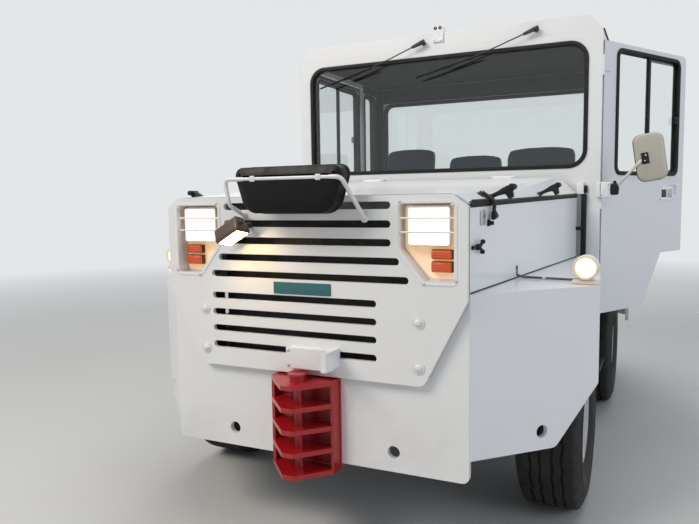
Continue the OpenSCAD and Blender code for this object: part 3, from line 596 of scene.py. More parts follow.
def door_trim(body, place):
    """What a door carries: seal, pane divider, sliding catch, pull recess, inner lining, and dark sheets on the inner
    upper frame that are painted shade; x is from the hinge
    """
    place = place @ shift((HINGE.y, 0, 0))

    def hang(pieces, name, material, **more):
        keep(moved(pieces, place), body + "_" + name, material, body, **more)

    seal(body, body, DOOR_WINDOW, 0.045, place, 0.036)
    _, z0, x1, z1 = DOOR_WINDOW
    post = 0.52
    bars = [block((post - 0.014, 0.004, z0 - 0.004), (post + 0.014, 0.03, z1 + 0.004), 0.004),
            block((post + 0.014, 0.024, z0 + 0.01), (x1 - 0.008, 0.034, z0 + 0.028), 0.003),
            block((post + 0.014, 0.024, z1 - 0.028), (x1 - 0.008, 0.034, z1 - 0.01), 0.003)]
    catch = [block((x1 - 0.052, -0.01, 1.935), (x1 - 0.01, 0.011, 1.985), 0.005),
             block((x1 - 0.04, -0.016, 1.95), (x1 - 0.028, -0.008, 1.972), 0.003)]
    hang(bars + catch, "window_frame", SEAL)
    # pull recess: bright frame with a dark paddle in it
    low, high = (0.683, 1.437), (0.831, 1.501)
    frame_ring = ring(box_outline(*low, *high, 0.012), 0.015, -0.003, 0.012, 0.008, 0.0015)
    hang(frame_ring, "pull_frame", CHROME, slot="white_paint")
    paddle = [block((low[0] + 0.003, 0.004, low[1] + 0.003), (high[0] - 0.003, 0.0098, high[1] - 0.003), 0.002),
              block((low[0] + 0.01, -0.002, low[1] + 0.006), (low[0] + 0.07, 0.006, high[1] - 0.006), 0.003)]
    hang(paddle, "pull", PLASTIC)
    lock = [block((low[0] + 0.081, -0.001, low[1] + 0.003), (high[0] - 0.003, 0.006, high[1] - 0.003), 0.0015),
            drum(0.013, 0.006, (low[0] + 0.113, -0.002, 1.469), "y", 28, 0.0015),
            block((low[0] + 0.1118, -0.0058, 1.463), (low[0] + 0.1142, -0.004, 1.475))]
    hang(lock, "pull_lock", ZINC, slot="white_paint")
    # lining and grab handle on the inside, and dark sheets round the window's inner frame as painted shade
    lining = sheet_outline([(0.06, 0.79), (0.48, 0.79), (0.69, 1.12), (0.905, 1.12), (0.905, 1.54), (0.06, 1.54)],
                           0.0362, 0.007, 0.025)
    hang(rounded(lining, 0.002, 2, 60), "lining", PLASTIC)
    dark_sheets = [block((left, 0.0362, low), (right, 0.0412, high), 0.002)
            for left, low, right, high in ((0.062, 1.548, 0.132, 2.392), (0.134, 2.37, 0.886, 2.392),
                                           (0.888, 1.548, 0.905, 2.392))]
    hang(dark_sheets, "upper_frame_painted_shade", FELT_AND_PAINTED_SHADE)
    grip = tube(eased([(0.3, 0.043, 1.3), (0.3, 0.085, 1.32), (0.64, 0.085, 1.42), (0.64, 0.043, 1.44)], 0.03), 0.01, 8)
    hang(grip, "grab_handle", PLASTIC)


door_trim("left_door", LEFT_DOOR)
door_trim("right_door", RIGHT_SIDE)


# Hood: rubber along the seams, strap latches, buffers and the loose rod on the ledge

HOOD_FRONT, HOOD_REAR = 0.012, 1.79
HOOD_ANGLE = math.atan2(0.19, HOOD_REAR - HOOD_FRONT)
HOOD_SIDE = shift((0.711, HOOD_FRONT, 0)) @ Matrix.Rotation(math.pi / 2 - HOOD_ANGLE, 4, "Z")


def hood_line(y, front, rear):
    """A point on one of the hood's long edges, given at its front and rear ends"""
    t = (y - HOOD_FRONT) / (HOOD_REAR - HOOD_FRONT)
    return Vector((front[0], y, front[1])).lerp(Vector((rear[0], y, rear[1])), t)


def lid_edge(y):
    return hood_line(y, (0.715, 1.434), (0.905, 1.464))


def bevel_frame(y, up):
    """On the lid's bevel, that far up from its edge: x runs down the bevel and z leaves the sheet"""
    rise = (hood_line(y, (0.654, 1.473), (0.8, 1.578)) - lid_edge(y)).normalized()
    out = Vector((rise.z, 0, -rise.x))
    turn = Matrix((-rise, (0, 1, 0), out)).transposed().to_4x4()
    return shift(lid_edge(y) + rise * up) @ turn


def strip(ends, edge=0.0):
    """A straight strip from the corners of its two four-sided ends, with rounded edges"""
    nothing()
    bpy.ops.mesh.primitive_cube_add(size=1, location=(0, 0, 0))
    piece = bpy.context.object
    for vertex in piece.data.vertices:
        x, y, z = vertex.co
        vertex.co = ends[0 if y < 0 else 1][(0, 1, 3, 2)[2 * (z > 0) + (x > 0)]]
    edit(piece)
    face_out()
    return rounded(piece, edge, 2) if edge else piece


def lid_trim(y):
    """The edge rubber's section on the lid"""
    return [bevel_frame(y, 0) @ Vector(p)
            for p in ((0.0, 0, -0.008), (0.0015, 0, 0.0028), (-0.013, 0, 0.0028), (-0.013, 0, -0.002))]


keep(both(strip([lid_trim(0.013), lid_trim(1.789)], 0.0012)), "hood_lid_edge_rubber", SEAL, "hood")
seams = both(tube([hood_line(y, (0.712, 1.4305), (0.903, 1.4605)) for y in (0.02, 1.786)], 0.0034, 6))
SIDE_TOP = ((-0.0024, -0.008), (0.003, -0.008), (0.003, 0.0006), (-0.0024, 0.0006))
side_top = strip([[(s, y, z + rise) for y, rise in SIDE_TOP] for s, z in ((0.004, SEAM_FRONT), (1.784, SEAM_REAR))],
                 0.001)
side_foot = block((0.004, -0.0026, 1.0846), (1.786, 0.001, 1.09), 0.001)
keep(seams + both(moved([side_top, side_foot], HOOD_SIDE)), "hood_seam_rubber", SEAL)
PANEL_EDGE = [(0.706, 1.092), (0.706, 1.424), (0.649, 1.467), (-0.649, 1.467), (-0.706, 1.424), (-0.706, 1.092)]
edge_rubber = tube(eased([(x, -0.0045, z) for x, z in PANEL_EDGE], 0.012, 3), 0.0075, 8)
keep(edge_rubber, "panel_edge_rubber", SEAL)
# The dark strip at the hood's rear end is wider than its rubber seal: the extra width is painted shadow between hood
# and cab
for name, tone, low, high, edge in (
        ("hood_end_rubber_and_painted_shadow", SEAL, (0.925, 1.8, 1.088), (0.955, 1.829, 1.47), 0.005),
        ("hood_stop_brackets", WHITE, (0.899, 1.796, 1.47), (0.938, 1.8305, 1.545), 0.003),
        ("hood_stop_pads", SEAL, (0.94, 1.812, 1.478), (0.958, 1.8305, 1.522), 0.005)):
    keep(both(block(low, high, edge)), name, tone)


def latch_foot(place):
    """Folded steel foot of a strap latch, with the pin that the strap turns on"""
    foot = [block((-0.015, -0.024, 0.0), (0.015, 0.024, 0.0025), 0.0008),
            block((-0.009, -0.0235, 0.001), (0.009, -0.0205, 0.016), 0.0012),
            block((-0.009, 0.0205, 0.001), (0.009, 0.0235, 0.016), 0.0012),
            drum(0.0032, 0.052, (0, 0, 0.01), "y", 12, 0.0008)]
    return moved(foot, place)


def standing_strap(place, lean):
    """Undone rubber strap that stands out from its foot: hook below and T grip at its end"""
    side = [(-0.006, -0.006), (0.032, -0.009), (0.058, -0.014), (0.063, -0.04), (0.083, -0.038), (0.089, -0.012),
            (0.104, -0.009), (0.108, 0.007), (0.096, 0.015), (0.06, 0.014), (0.03, 0.009), (-0.006, 0.007)]
    strap = rounded(sheet_outline(side, -0.016, 0.032, 0.0035, 3), 0.003, 2, 50)
    pin = place @ Vector((0, 0, 0.01))
    turn = shift(pin) @ swung("Y", -lean)
    return moved([strap, drum(0.0125, 0.068, (0.095, 0, 0.003), "y", 24, 0.005)], turn)


latch_rubber, latch_steel = [], []
for y, up, lean in ((0.285, 0.026, 22), (1.01, 0.024, 24)):
    latch_rubber += standing_strap(bevel_frame(y, up), lean)
    latch_steel += latch_foot(bevel_frame(y, up))
# the front strap is done up: it bends over the seam down to its keeper
latch_steel += latch_foot(bevel_frame(0.235, 0.052))
bent = [(0.7005, 1.4735), (0.7374, 1.4462), (0.7462, 1.4385), (0.7472, 1.425), (0.7452, 1.403), (0.7425, 1.392),
        (0.7408, 1.37), (0.75, 1.364), (0.7625, 1.372), (0.764, 1.392), (0.7565, 1.405), (0.759, 1.433),
        (0.7545, 1.447), (0.7415, 1.4575), (0.708, 1.483)]
latch_rubber.append(rounded(sheet_outline(bent, 0.22, 0.03, 0.003, 3), 0.0028, 2, 50))
latch_rubber.append(drum(0.01, 0.058, (0.7555, 0.235, 1.382), "y", 24, 0.005))
latch_rubber.append(strip([[bevel_frame(y, 0.005) @ Vector(p)
                            for p in ((-0.013, 0, 0.0), (0.001, 0, 0.0), (0.0, 0, 0.01), (-0.011, 0, 0.01))]
                           for y in (0.04, 0.205)], 0.004))
keep(both(latch_rubber), "hood_latches", SEAL, "hood")
keep(both(latch_steel), "hood_latch_feet", BLACK_PAINT, "hood")
side_rubber = [block((0.19, -0.003, 1.34), (0.222, 0.0, 1.368), 0.001),
               drum(0.0085, 0.02, (0.206, -0.012, 1.353), "-y", 20, 0.003),
               drum(0.0125, 0.018, (0.068, -0.009, 1.264), "-y", 24, 0.004),
               block((0.012, -0.008, 1.256), (0.068, -0.001, 1.272), 0.003)]
for bend, tip in (((0.084, -0.014, 1.274), (0.098, -0.015, 1.283)), ((0.082, -0.014, 1.254), (0.094, -0.015, 1.245))):
    side_rubber.append(tube(eased([(0.068, -0.012, 1.264), bend, tip], 0.006), 0.0066, 8))
side_rubber += [drum(0.009, 0.017, at, "-y", 20, 0.004) for at in ((0.099, -0.015, 1.284), (0.095, -0.015, 1.244))]
buffer = drum(0.011, 0.03, (0.915, 1.772, 1.262), "x", 20, 0.003)
keep(both(moved(side_rubber, HOOD_SIDE) + [buffer]), "hood_side_latches", SEAL)
bare = [dome(0.0028, (s, -0.002, z), 0.6, "-y", 14) for s in (0.116, 0.159) for z in (1.352, 1.402)]
bare.append(block((0.11, -0.0022, 1.346), (0.165, 0.0, 1.408), 0.0008))
keep(both(moved(bare, HOOD_SIDE)), "hood_side_plates", ZINC)
stay = tube(eased([(0.772, 0.6, 1.128), (0.775, 0.602, 1.099), (0.8, 0.6, 1.0915), (1.035, 0.56, 1.0915)],
                  0.01), 0.0052, 8)
keep(stay, "ledge_rod", CAST_IRON)
knobs = [drum(0.007, 0.02, (0.772, 0.6, 1.133), "z", 16, 0.002),
         drum(0.006, 0.02, (1.042, 0.5588, 1.0925), "x", 16, 0.002)]
keep(knobs, "ledge_rod_ends", PLASTIC)
keep(drum(0.0075, 0.016, (0.9, 0.583, 1.0915), "x", 16, 0.001), "ledge_rod_collar", WHITE)


# Grille panel: bolts, bare plate, lamp surrounds

def screws(radius, places, out=-1):
    """Pan-head screws with their washers, standing on a sheet that faces the front (-1) or the rear (1)"""
    toward = "y" if out > 0 else "-y"
    made = []
    for x, y, z in places:
        made += [drum(radius * 1.5, radius * 0.25, (x, y + out * radius * 0.12, z), toward, 24, radius * 0.08),
                 dome(radius, (x, y + out * radius * 0.2, z), 0.62, toward, 20)]
    return made


keep(screws(0.017, [(x, PANEL_FACE, z) for x in (-0.517, 0.517) for z in (0.785, 0.968)]), "panel_bolts",
     WHITE_CHASSIS)
small_screws = screws(0.0045, [(x, PANEL_FACE - 0.002, z) for x, z in (
    (0.654, 1.43), (0.44, 1.446), (0.54, 1.122), (0.668, 1.14))])
keep(both(small_screws), "tray_screws", ZINC)
surround = ring([(0.53, 1.117), (0.674, 1.117), (0.674, 1.451), (0.42, 1.451), (0.42, 1.256)], 0.013,
                PANEL_FACE - 0.0022, 0.004, 0.022, 0.001)
keep(both(surround), "lamp_surrounds", WHITE)

baffles = both(block((0.486, -0.0115, 0.772), (0.4995, 0.078, 1.084)))
keep(baffles, "slot_baffles", SEAL, slot="radiator_black")

BADGE = (-0.147, 1.054, 0.131, 1.106)
plate = sheet_outline(box_outline(*BADGE), PANEL_FACE - 0.003, 0.0034, 0.004, 3)
keep(rounded(plate, 0.0006, 2, 60), "bare_plate", TEAL)
plate_edge = ring(box_outline(*BADGE, -0.003), 0.0032, PANEL_FACE - 0.0038, 0.0014, 0.003)
keep(plate_edge, "bare_plate_edge", TEAL)


# Headlamps, amber lamps and marker lamps

LENS = (0.462, 1.27, 0.64, 1.427)


def fluted(low, high, y, flutes, depth):
    """A lens whose front is pressed into upright flutes"""
    nothing()
    bpy.ops.mesh.primitive_grid_add(x_subdivisions=flutes * 4, y_subdivisions=12, size=1, location=(0, 0, 0))
    piece = bpy.context.object
    for vertex in piece.data.vertices:
        u, v = vertex.co.x + 0.5, vertex.co.y + 0.5
        edge = min(u, v, 1 - u, 1 - v)
        crown = 0.01 * (1 - (2 * u - 1) ** 4) * (1 - (2 * v - 1) ** 4)
        wave = depth * abs(math.sin(math.pi * flutes * u)) * min(1, edge / 0.06)
        vertex.co = (low[0] + u * (high[0] - low[0]), y - crown - wave, low[1] + v * (high[1] - low[1]))
    edit(piece)
    thicken(0.016)
    return piece


inner = box_outline(*LENS, -0.004)
glass = fluted(inner[0], inner[2], -0.002, 9, 0.0022)
keep(both(glass), "headlamp_lenses", HEADLIGHT, replaces=["lamp_lenses"])
lamp_ring = ring(box_outline(*LENS), 0.007, -0.01, 0.03, 0.012, 0.002)
keep(both(lamp_ring), "headlamp_rims", CHROME)
keep(both(ring(inner, 0.012, 0.012, 0.0195, 0.012)), "headlamp_shells", PLASTIC)
# Floors of the lamp trays, glowing with painted lamplight
tray_painted_glow = sheet_outline([(0.548, 1.139), (0.652, 1.139), (0.652, 1.429), (0.442, 1.429), (0.442, 1.258)], 0.03,
                          0.0016, 0.014)
keep(both(tray_painted_glow), "lamp_tray_floors", TRAY_PAINTED_GLOW)
ambers, amber_bases = [], []
for z0, z1 in ((1.168, 1.207), (1.22, 1.254)):
    amber_bases.append(block((0.556, 0.01, z0 - 0.002), (0.642, 0.0315, z1 + 0.002), 0.003))
    ambers.append(block((0.558, -0.002, z0), (0.64, 0.011, z1), 0.005))
    for i in range(1, 4):
        z = z0 + (z1 - z0) * i / 4
        ambers.append(block((0.563, -0.0042, z - 0.0022), (0.635, 0.0, z + 0.0022), 0.0012))
keep(both(ambers), "amber_lenses", AMBER, replaces=["turn_lamps"])
keep(both(amber_bases), "amber_bases", PLASTIC)
MARK = Vector((1.09, 0.458, 1.157))
opal = dome(0.0405, MARK + Vector((0, -0.004, 0)), 0.62, "-y", 40)
keep(both(opal), "marker_lenses", MARKER)
# The rims and the plate under each marker lamp are tinted warm: painted lamplight from the marker, on cream enamel
marker_rim = [moved(turned([(0.0, 0.053), (0.01, 0.0535), (0.016, 0.0515), (0.0185, 0.0475), (0.0175, 0.043),
                            (0.012, 0.0405), (0.0, 0.0405)], 48), shift(MARK) @ swung("Z", -90)),
              block((1.034, 0.4525, 1.0855), (1.1465, 0.512, 1.102), 0.004)]
for turn in (40, 160, 280):
    a = math.radians(turn)
    marker_rim.append(drum(0.0034, 0.004, MARK + Vector((0.047 * math.cos(a), -0.0192, 0.047 * math.sin(a))), "-y", 12,
                           0.0006))
keep(both(marker_rim), "marker_rims", RIM_CREAM_AND_PAINTED_LAMPLIGHT)


# Front mirror on its hoop, with the work lamp

HOOP_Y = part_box("front_mirror")[0].y - FACE_Y + 0.009
hoop = [tube(eased([(-0.29, -0.036, 1.395), (-0.25, HOOP_Y, 1.44), (-0.27, HOOP_Y, 1.545), (0.265, HOOP_Y, 1.545),
                    (0.29, -0.036, 1.38)], 0.028, 8), 0.009, 10)]
for x, z in ((-0.29, 1.395), (0.29, 1.38)):
    hoop.append(drum(0.017, 0.008, (x, PANEL_FACE - 0.004, z), "-y", 28, 0.002))
    hoop += screws(0.006, [(x, PANEL_FACE - 0.008, z)])
for x in (-0.13, 0.17):
    hoop.append(block((x - 0.012, HOOP_Y - 0.0105, 1.533), (x + 0.012, HOOP_Y + 0.02, 1.557), 0.004))
keep(hoop, "mirror_hoop", WHITE_CHASSIS, replaces=["front_mirror"])
SHELL_Y = HOOP_Y + 0.012
shell = sheet_outline([(-0.176, 1.405), (0.216, 1.405), (0.276, 1.592), (-0.236, 1.592)], SHELL_Y, 0.075, 0.052, 10)
edit(shell)
pick_faces(shell, lambda centre, normal: normal.y < -0.9)
bpy.ops.mesh.inset(thickness=0.022, depth=0.012)
bpy.ops.mesh.inset(thickness=0.03, depth=0.006)
done()
keep(rounded(shell, 0.012, 5, 30), "mirror_shell", SHELL, smooth=60)
shell_lip = ring([(-0.18, 1.401), (0.22, 1.401), (0.281, 1.597), (-0.241, 1.597)], 0.012, SHELL_Y + 0.064,
                 0.012, 0.056, 0.003)
keep(shell_lip, "mirror_shell_lip", SEAL)
mirror_glass = sheet_outline([(-0.17, 1.411), (0.21, 1.411), (0.268, 1.587), (-0.228, 1.587)], SHELL_Y + 0.0685,
                             0.0045, 0.048, 10)
keep(mirror_glass, "front_mirror_glass", MIRROR)

WORK_AT = Vector((-0.3, -0.12, 1.325))
WORK = shift(WORK_AT) @ swung("Y", -30) @ swung("X", -13)
hood_shape = sheet_outline([(-0.046, -0.03), (0.046, -0.03), (0.03, 0.04), (-0.03, 0.04)], -0.065, 0.13,
                           0.012)
housing = moved(hood_shape, swung("Z", 90))
lamp_parts = [rounded(housing, 0.006, 4, 50),
              block((-0.03, -0.012, 0.036), (0.03, 0.012, 0.046), 0.003),
              drum(0.012, 0.15, (0, 0, 0.012), "x", 24, 0.003)]
keep(moved(lamp_parts, WORK), "work_lamp_housing", BROWN, replaces=["work_lamp"])
foot = Vector((-0.262, PANEL_FACE - 0.0003, 1.352))
arm = [tube([foot + Vector((0, -0.004, 0)), foot + Vector((0, -0.04, 0)), WORK_AT + Vector((0.012, 0.01, 0.02))],
            0.006, 8), drum(0.014, 0.008, foot + Vector((0, -0.004, 0)), "-y", 24, 0.002)]
arm += screws(0.003, [foot + Vector((0, -0.008, -0.009))])
keep(arm, "work_lamp_arm", BROWN)
lamp_lip = ring(box_outline(-0.062, -0.044, 0.062, 0.044), 0.007, 0, 0.008, 0.01, 0.002)
lamp_face = sheet_outline(box_outline(-0.056, -0.038, 0.056, 0.038), 0.001, 0.004, 0.008)
UNDER = WORK @ shift((0, 0, -0.034)) @ swung("X", 90)
keep(moved(lamp_lip, UNDER), "work_lamp_lip", BROWN)
keep(moved(lamp_face, UNDER), "work_lamp_lens", WORK_LIGHT)


# Wheels: ribbed tyre casing, wheel nuts, hub cap and valve

AXLE_Z = 0.35
FRONT_AXLE, REAR_AXLE = 0.89, 2.79
TRACK_HALF = 0.933
ZIGS = 24


def casing():
    """An industrial rib tyre: bead, ringed wall, notched square shoulder and five ribs with zigzag grooves"""
    side = [(0.096, 0.193), (0.102, 0.1945), (0.1065, 0.2), (0.117, 0.216), (0.1265, 0.231), (0.129, 0.2335),
            (0.1285, 0.237), (0.1365, 0.252), (0.1425, 0.272), (0.1448, 0.296), (0.1448, 0.318), (0.1475, 0.32),
            (0.1475, 0.325), (0.1445, 0.328), (0.144, 0.35), (0.1462, 0.3525), (0.1462, 0.3575), (0.1425, 0.361),
            (0.139, 0.376), (0.1335, 0.389), (0.127, 0.401), (0.1225, 0.411), (0.114, 0.418), (0.104, 0.4195),
            (0.076, 0.4195), (0.074, 0.4075), (0.065, 0.4075), (0.063, 0.42), (0.033, 0.42), (0.031, 0.4075),
            (0.022, 0.4075), (0.02, 0.42)]
    piece = turned(side + [(-x, r) for x, r in reversed(side)], 6 * ZIGS)
    for vertex in piece.data.vertices:
        x, y, z = vertex.co
        reach = math.hypot(y, z)
        turn = (math.atan2(y, z) / (2 * math.pi) * ZIGS) % 1.0
        if reach > 0.407 and abs(x) < 0.08:
            vertex.co.x += 0.0035 * (4 * abs(turn - 0.5) - 1)
        # a notch in each shoulder at every zig
        if abs(x) > 0.112 and reach > 0.405 and min(turn, 1 - turn) < 0.09:
            vertex.co.y *= 1 - 0.007 / reach
            vertex.co.z *= 1 - 0.007 / reach
    return piece


def wheel_fittings():
    """Nuts in the disc's holes, hub cap with its bolts, and the valve"""
    nuts = []
    for i in range(8):
        turn = swung("X", 45 * i + 22.5)
        for radius, depth, x, sides, edge in ((0.0165, 0.006, 0.049, 20, 0.001), (0.0135, 0.022, 0.06, 6, 0.0015),
                                              (0.0065, 0.012, 0.074, 14, 0.001)):
            nuts.append(moved(drum(radius, depth, (x, 0, 0.1425), "x", sides, edge), turn))
    cap = [turned([(0.058, 0.0), (0.058, 0.062), (0.068, 0.062), (0.072, 0.056), (0.09, 0.052), (0.094, 0.046),
                   (0.096, 0.0)], 40)]
    for i in range(6):
        cap.append(moved(drum(0.0055, 0.008, (0.071, 0, 0.0555), "x", 6, 0.001), swung("X", 60 * i)))
    valve = [tube([(0.052, 0.0, 0.176), (0.07, 0.0, 0.168), (0.092, 0.0, 0.16)], 0.0042, 8),
             drum(0.0056, 0.012, (0.09, 0.0, 0.1608), "x", 14, 0.001)]
    return nuts, cap + valve


tyre_shape = casing()
nut_shape, cap_shape = (joined(parts) for parts in wheel_fittings())
for name, side, y in (("fl", 1, FRONT_AXLE), ("fr", -1, FRONT_AXLE), ("rl", 1, REAR_AXLE), ("rr", -1, REAR_AXLE)):
    spot = shift((side * TRACK_HALF, y, AXLE_Z)) @ Matrix.Scale(side, 4, (1, 0, 0))
    body = "wheel_" + name
    keep(copied(tyre_shape, spot), "casing_" + name, TYRE, body, smooth=28, replaces=["tyre_" + name])
    keep(copied(nut_shape, spot), "nuts_" + name, ZINC, body)
    keep(copied(cap_shape, spot), "hub_cap_" + name, WHITE_CHASSIS, body)
for piece in (tyre_shape, nut_shape, cap_shape):
    bpy.data.objects.remove(piece)


# Wipers: pivot, tapered head, spring arm and blade, drawn along x and turned to their place

def wiper(pivot, elbow, inner, outer):
    """Points are x and z; the arm runs to the elbow and carries the blade between its two ends"""
    y = CAB_Y - 0.04
    pivot, elbow, inner, outer = (Vector((x, y, z)) for x, z in (pivot, elbow, inner, outer))
    run = elbow - pivot
    place = shift(pivot) @ run.to_track_quat("X", "Z").to_matrix().to_4x4()
    head = sheet_outline([(-0.02, -0.013), (0.004, -0.014), (0.078, -0.008), (0.078, 0.008), (0.004, 0.014),
                          (-0.02, 0.013)], -0.009, 0.016, 0.004, 3)
    metal_parts = [moved(rounded(head, 0.003, 2, 50), place),
                   drum(0.015, 0.044, pivot + Vector((0, 0.017, 0)), "y", 24, 0.002),
                   dome(0.011, pivot + Vector((0, -0.008, 0)), 0.6, "-y", 20),
                   tube([pivot + run * 0.25, elbow], 0.0042, 8)]
    middle = (inner + outer) / 2 + Vector((0, 0.01, 0))
    metal_parts.append(tube(eased([elbow - run * 0.01, elbow + (middle - elbow) * 0.5, middle], 0.02), 0.0045, 8))
    span = outer - inner
    along = shift((inner + outer) / 2) @ span.to_track_quat("X", "Z").to_matrix().to_4x4()
    half = span.length / 2
    bow = eased([(half * x, y, 0) for x, y in ((-0.7, 0.016), (-0.35, 0.008), (0.35, 0.008), (0.7, 0.016))], 0.05)
    carrier = [tube(bow, 0.0038, 8), block((-0.016, 0.002, -0.007), (0.016, 0.016, 0.007), 0.002)]
    for x in (-0.68, -0.34, 0.34, 0.68):
        carrier.append(block((half * x - 0.007, 0.008, -0.0055), (half * x + 0.007, 0.022, 0.0055), 0.0015))
    rubber = [block((-half, 0.017, -0.005), (half, 0.024, 0.005), 0.0015),
              block((-half, 0.0235, -0.0016), (half, 0.034, 0.0016), 0.0006)]
    return metal_parts + moved(carrier, along), moved(rubber, along)


arms, blades = [], []
for row in (((-0.09, 2.482), (-0.34, 2.39), (-0.44, 2.348), (-0.84, 2.24)),
            ((0.641, 2.484), (0.365, 2.388), (0.288, 2.353), (-0.125, 2.253))):
    steel_parts, rubber_parts = wiper(*row)
    arms += steel_parts
    blades += rubber_parts
keep(arms, "wiper_arms", PLASTIC, replaces=["wipers"])
keep(blades, "wiper_blades", SEAL)


# Left side mirror: folded bracket, rubber clamp with its knob, bent arm, moulded shell and glass

MIRROR_Z = 1.45


def by_post(x, y, z):
    """A point given from the foot of the mirror's bracket at the cab's left front corner"""
    return Vector((CAB_HALF + x, CAB_Y + y, MIRROR_Z + z))


bracket = [block(by_post(0.0003, -0.06, 0), by_post(0.062, -0.01, 0.09), 0.004),
           block(by_post(-0.02, -0.06, 0), by_post(0.01, 0, 0.09), 0.003),
           ring([by_post(x, 0, z).xz for x, z in ((0.006, 0.008), (0.056, 0.016), (0.052, 0.08))],
                0.005, CAB_Y - 0.0612, 0.002, 0.004, 0.0006, 3)]
keep(bracket, "side_mirror_bracket", WHITE, replaces=["side_mirror"])
clamp = [block(by_post(0.062, -0.065, 0.012), by_post(0.107, -0.005, 0.082), 0.012, 5),
         block(by_post(0.06, -0.068, 0.042), by_post(0.109, -0.003, 0.052), 0.003),
         drum(0.009, 0.016, by_post(0.084, -0.035, 0.089), "z", 20, 0.004)]
keep(clamp, "side_mirror_clamp", SEAL)
arm_way = [by_post(*p) for p in ((0.096, -0.04, 0.06), (0.13, -0.09, 0.098), (0.22, -0.158, 0.196),
                                 (0.24, -0.128, 0.218))]
keep(tube(eased(arm_way, 0.03), 0.008, 10), "side_mirror_arm", CREAM)
SHELL_PLACE = shift(by_post(0.276, -0.12, 0.225)) @ swung("Z", 12) @ swung("Y", -9)
case = sheet_outline(box_outline(-0.081, -0.135, 0.081, 0.135), -0.008, 0.024, 0.046, 10)
edit(case)
pick_faces(case, lambda centre, normal: normal.y < -0.9)
bpy.ops.mesh.inset(thickness=0.008, depth=0.007)
bpy.ops.mesh.inset(thickness=0.014, depth=0.004)
done()
keep(moved(rounded(case, 0.003, 3, 25), SHELL_PLACE), "side_mirror_shell", PUTTY, smooth=60)
lip = ring(box_outline(-0.0825, -0.1365, 0.0825, 0.1365), 0.009, 0.006, 0.014, 0.047, 0.002)
grips = [block((-0.052, -0.026, -0.034), (-0.014, -0.016, 0.03), 0.003),
         block((-0.046, -0.031, -0.024), (-0.022, -0.018, 0.02), 0.004)]
keep(moved([lip] + grips, SHELL_PLACE), "side_mirror_lip", SEAL)
heads = [dome(0.005, (x, -0.031, z), 0.7, "-y", 16) for x, z in ((-0.03, 0.014), (-0.038, -0.016))]
keep(moved(heads, SHELL_PLACE), "side_mirror_screws", ZINC)
keep(moved(sheet_outline(box_outline(-0.0745, -0.1285, 0.0745, 0.1285), 0.015, 0.003, 0.04, 10), SHELL_PLACE),
     "side_mirror_glass", MIRROR)


# Roof: drip strips over the doors and screws of the two-hole bracket

drip = both(strip([[(CAB_HALF - 0.001, y, 2.4485), (CAB_HALF + 0.006, y, 2.4465), (CAB_HALF + 0.007, y, 2.453),
                    (CAB_HALF - 0.001, y, 2.4545)] for y in (CAB_Y + 0.01, CAB_REAR - 0.01)], 0.0012))
keep(drip, "roof_drip_strips", SEAL)
keep(screws(0.005, [(x, CAB_Y - 0.014, 2.492) for x in (-0.014, 0.034)]), "roof_bracket_screws", ZINC)
bores = [moved(turned([(-0.001, 0.007), (-0.001, 0.0105), (0.004, 0.0105), (0.004, 0.007)], 32),
               shift((x, CAB_Y - 0.0155, 2.568)) @ swung("Z", 90)) for x in (-0.006, 0.026)]
keep(bores, "roof_bracket_grommets", SEAL)


# Seats: steel boxes, and cushions and backs that cloth simulation fills

SEAT_Y = 2.5218
PLATFORM_Z = 1.05
SEATS = ((-0.6, 0.465, 0.85), (-0.034, 0.47, 0.775), (0.493, 0.56, 0.82))  # middle, width, height
SWELL = 0.012
RAKE = 0.09 / 0.48


def filled(piece, swell):
    """Blows a closed pad up like a stuffed cover, no point further than swell"""
    modify(piece, "REMESH", mode="VOXEL", voxel_size=0.01)
    rest = [vertex.co.copy() for vertex in piece.data.vertices]
    alone(piece)
    soft = piece.modifiers.new("stuffing", "CLOTH")
    soft.settings.use_pressure = True
    soft.settings.uniform_pressure_force = 4
    soft.settings.quality = 5
    soft.settings.effector_weights.gravity = 0
    for step in range(1, 21):
        bpy.context.scene.frame_set(step)
    bpy.ops.object.modifier_apply(modifier=soft.name)
    bpy.context.scene.frame_set(1)
    for vertex, start in zip(piece.data.vertices, rest):
        push = vertex.co - start
        if push.length > swell:
            vertex.co = start + push.normalized() * swell
    return modify(piece, "SUBSURF", levels=1, render_levels=1)


def lean_back(piece):
    for vertex in piece.data.vertices:
        vertex.co.y += RAKE * (vertex.co.z - (PLATFORM_Z + 0.281))
    return piece


def piping(pad, points):
    """A welt that follows the pad's surface through points"""
    way = [pad.closest_point_on_mesh(Vector(p))[1] for p in points]
    return tube(way, 0.0042, 6, closed=True)


def round_way(x, low, high, radius, place, steps=7):
    """Points round a rounded rectangle of half width x between low and high; place makes each a point"""
    out = []
    for cx, cz, start in ((x - radius, high - radius, 0), (radius - x, high - radius, 90),
                          (radius - x, low + radius, 180), (x - radius, low + radius, 270)):
        for i in range(steps):
            a = math.radians(start + 90 * i / (steps - 1))
            out.append(place(cx + radius * math.cos(a), cz + radius * math.sin(a)))
    return out


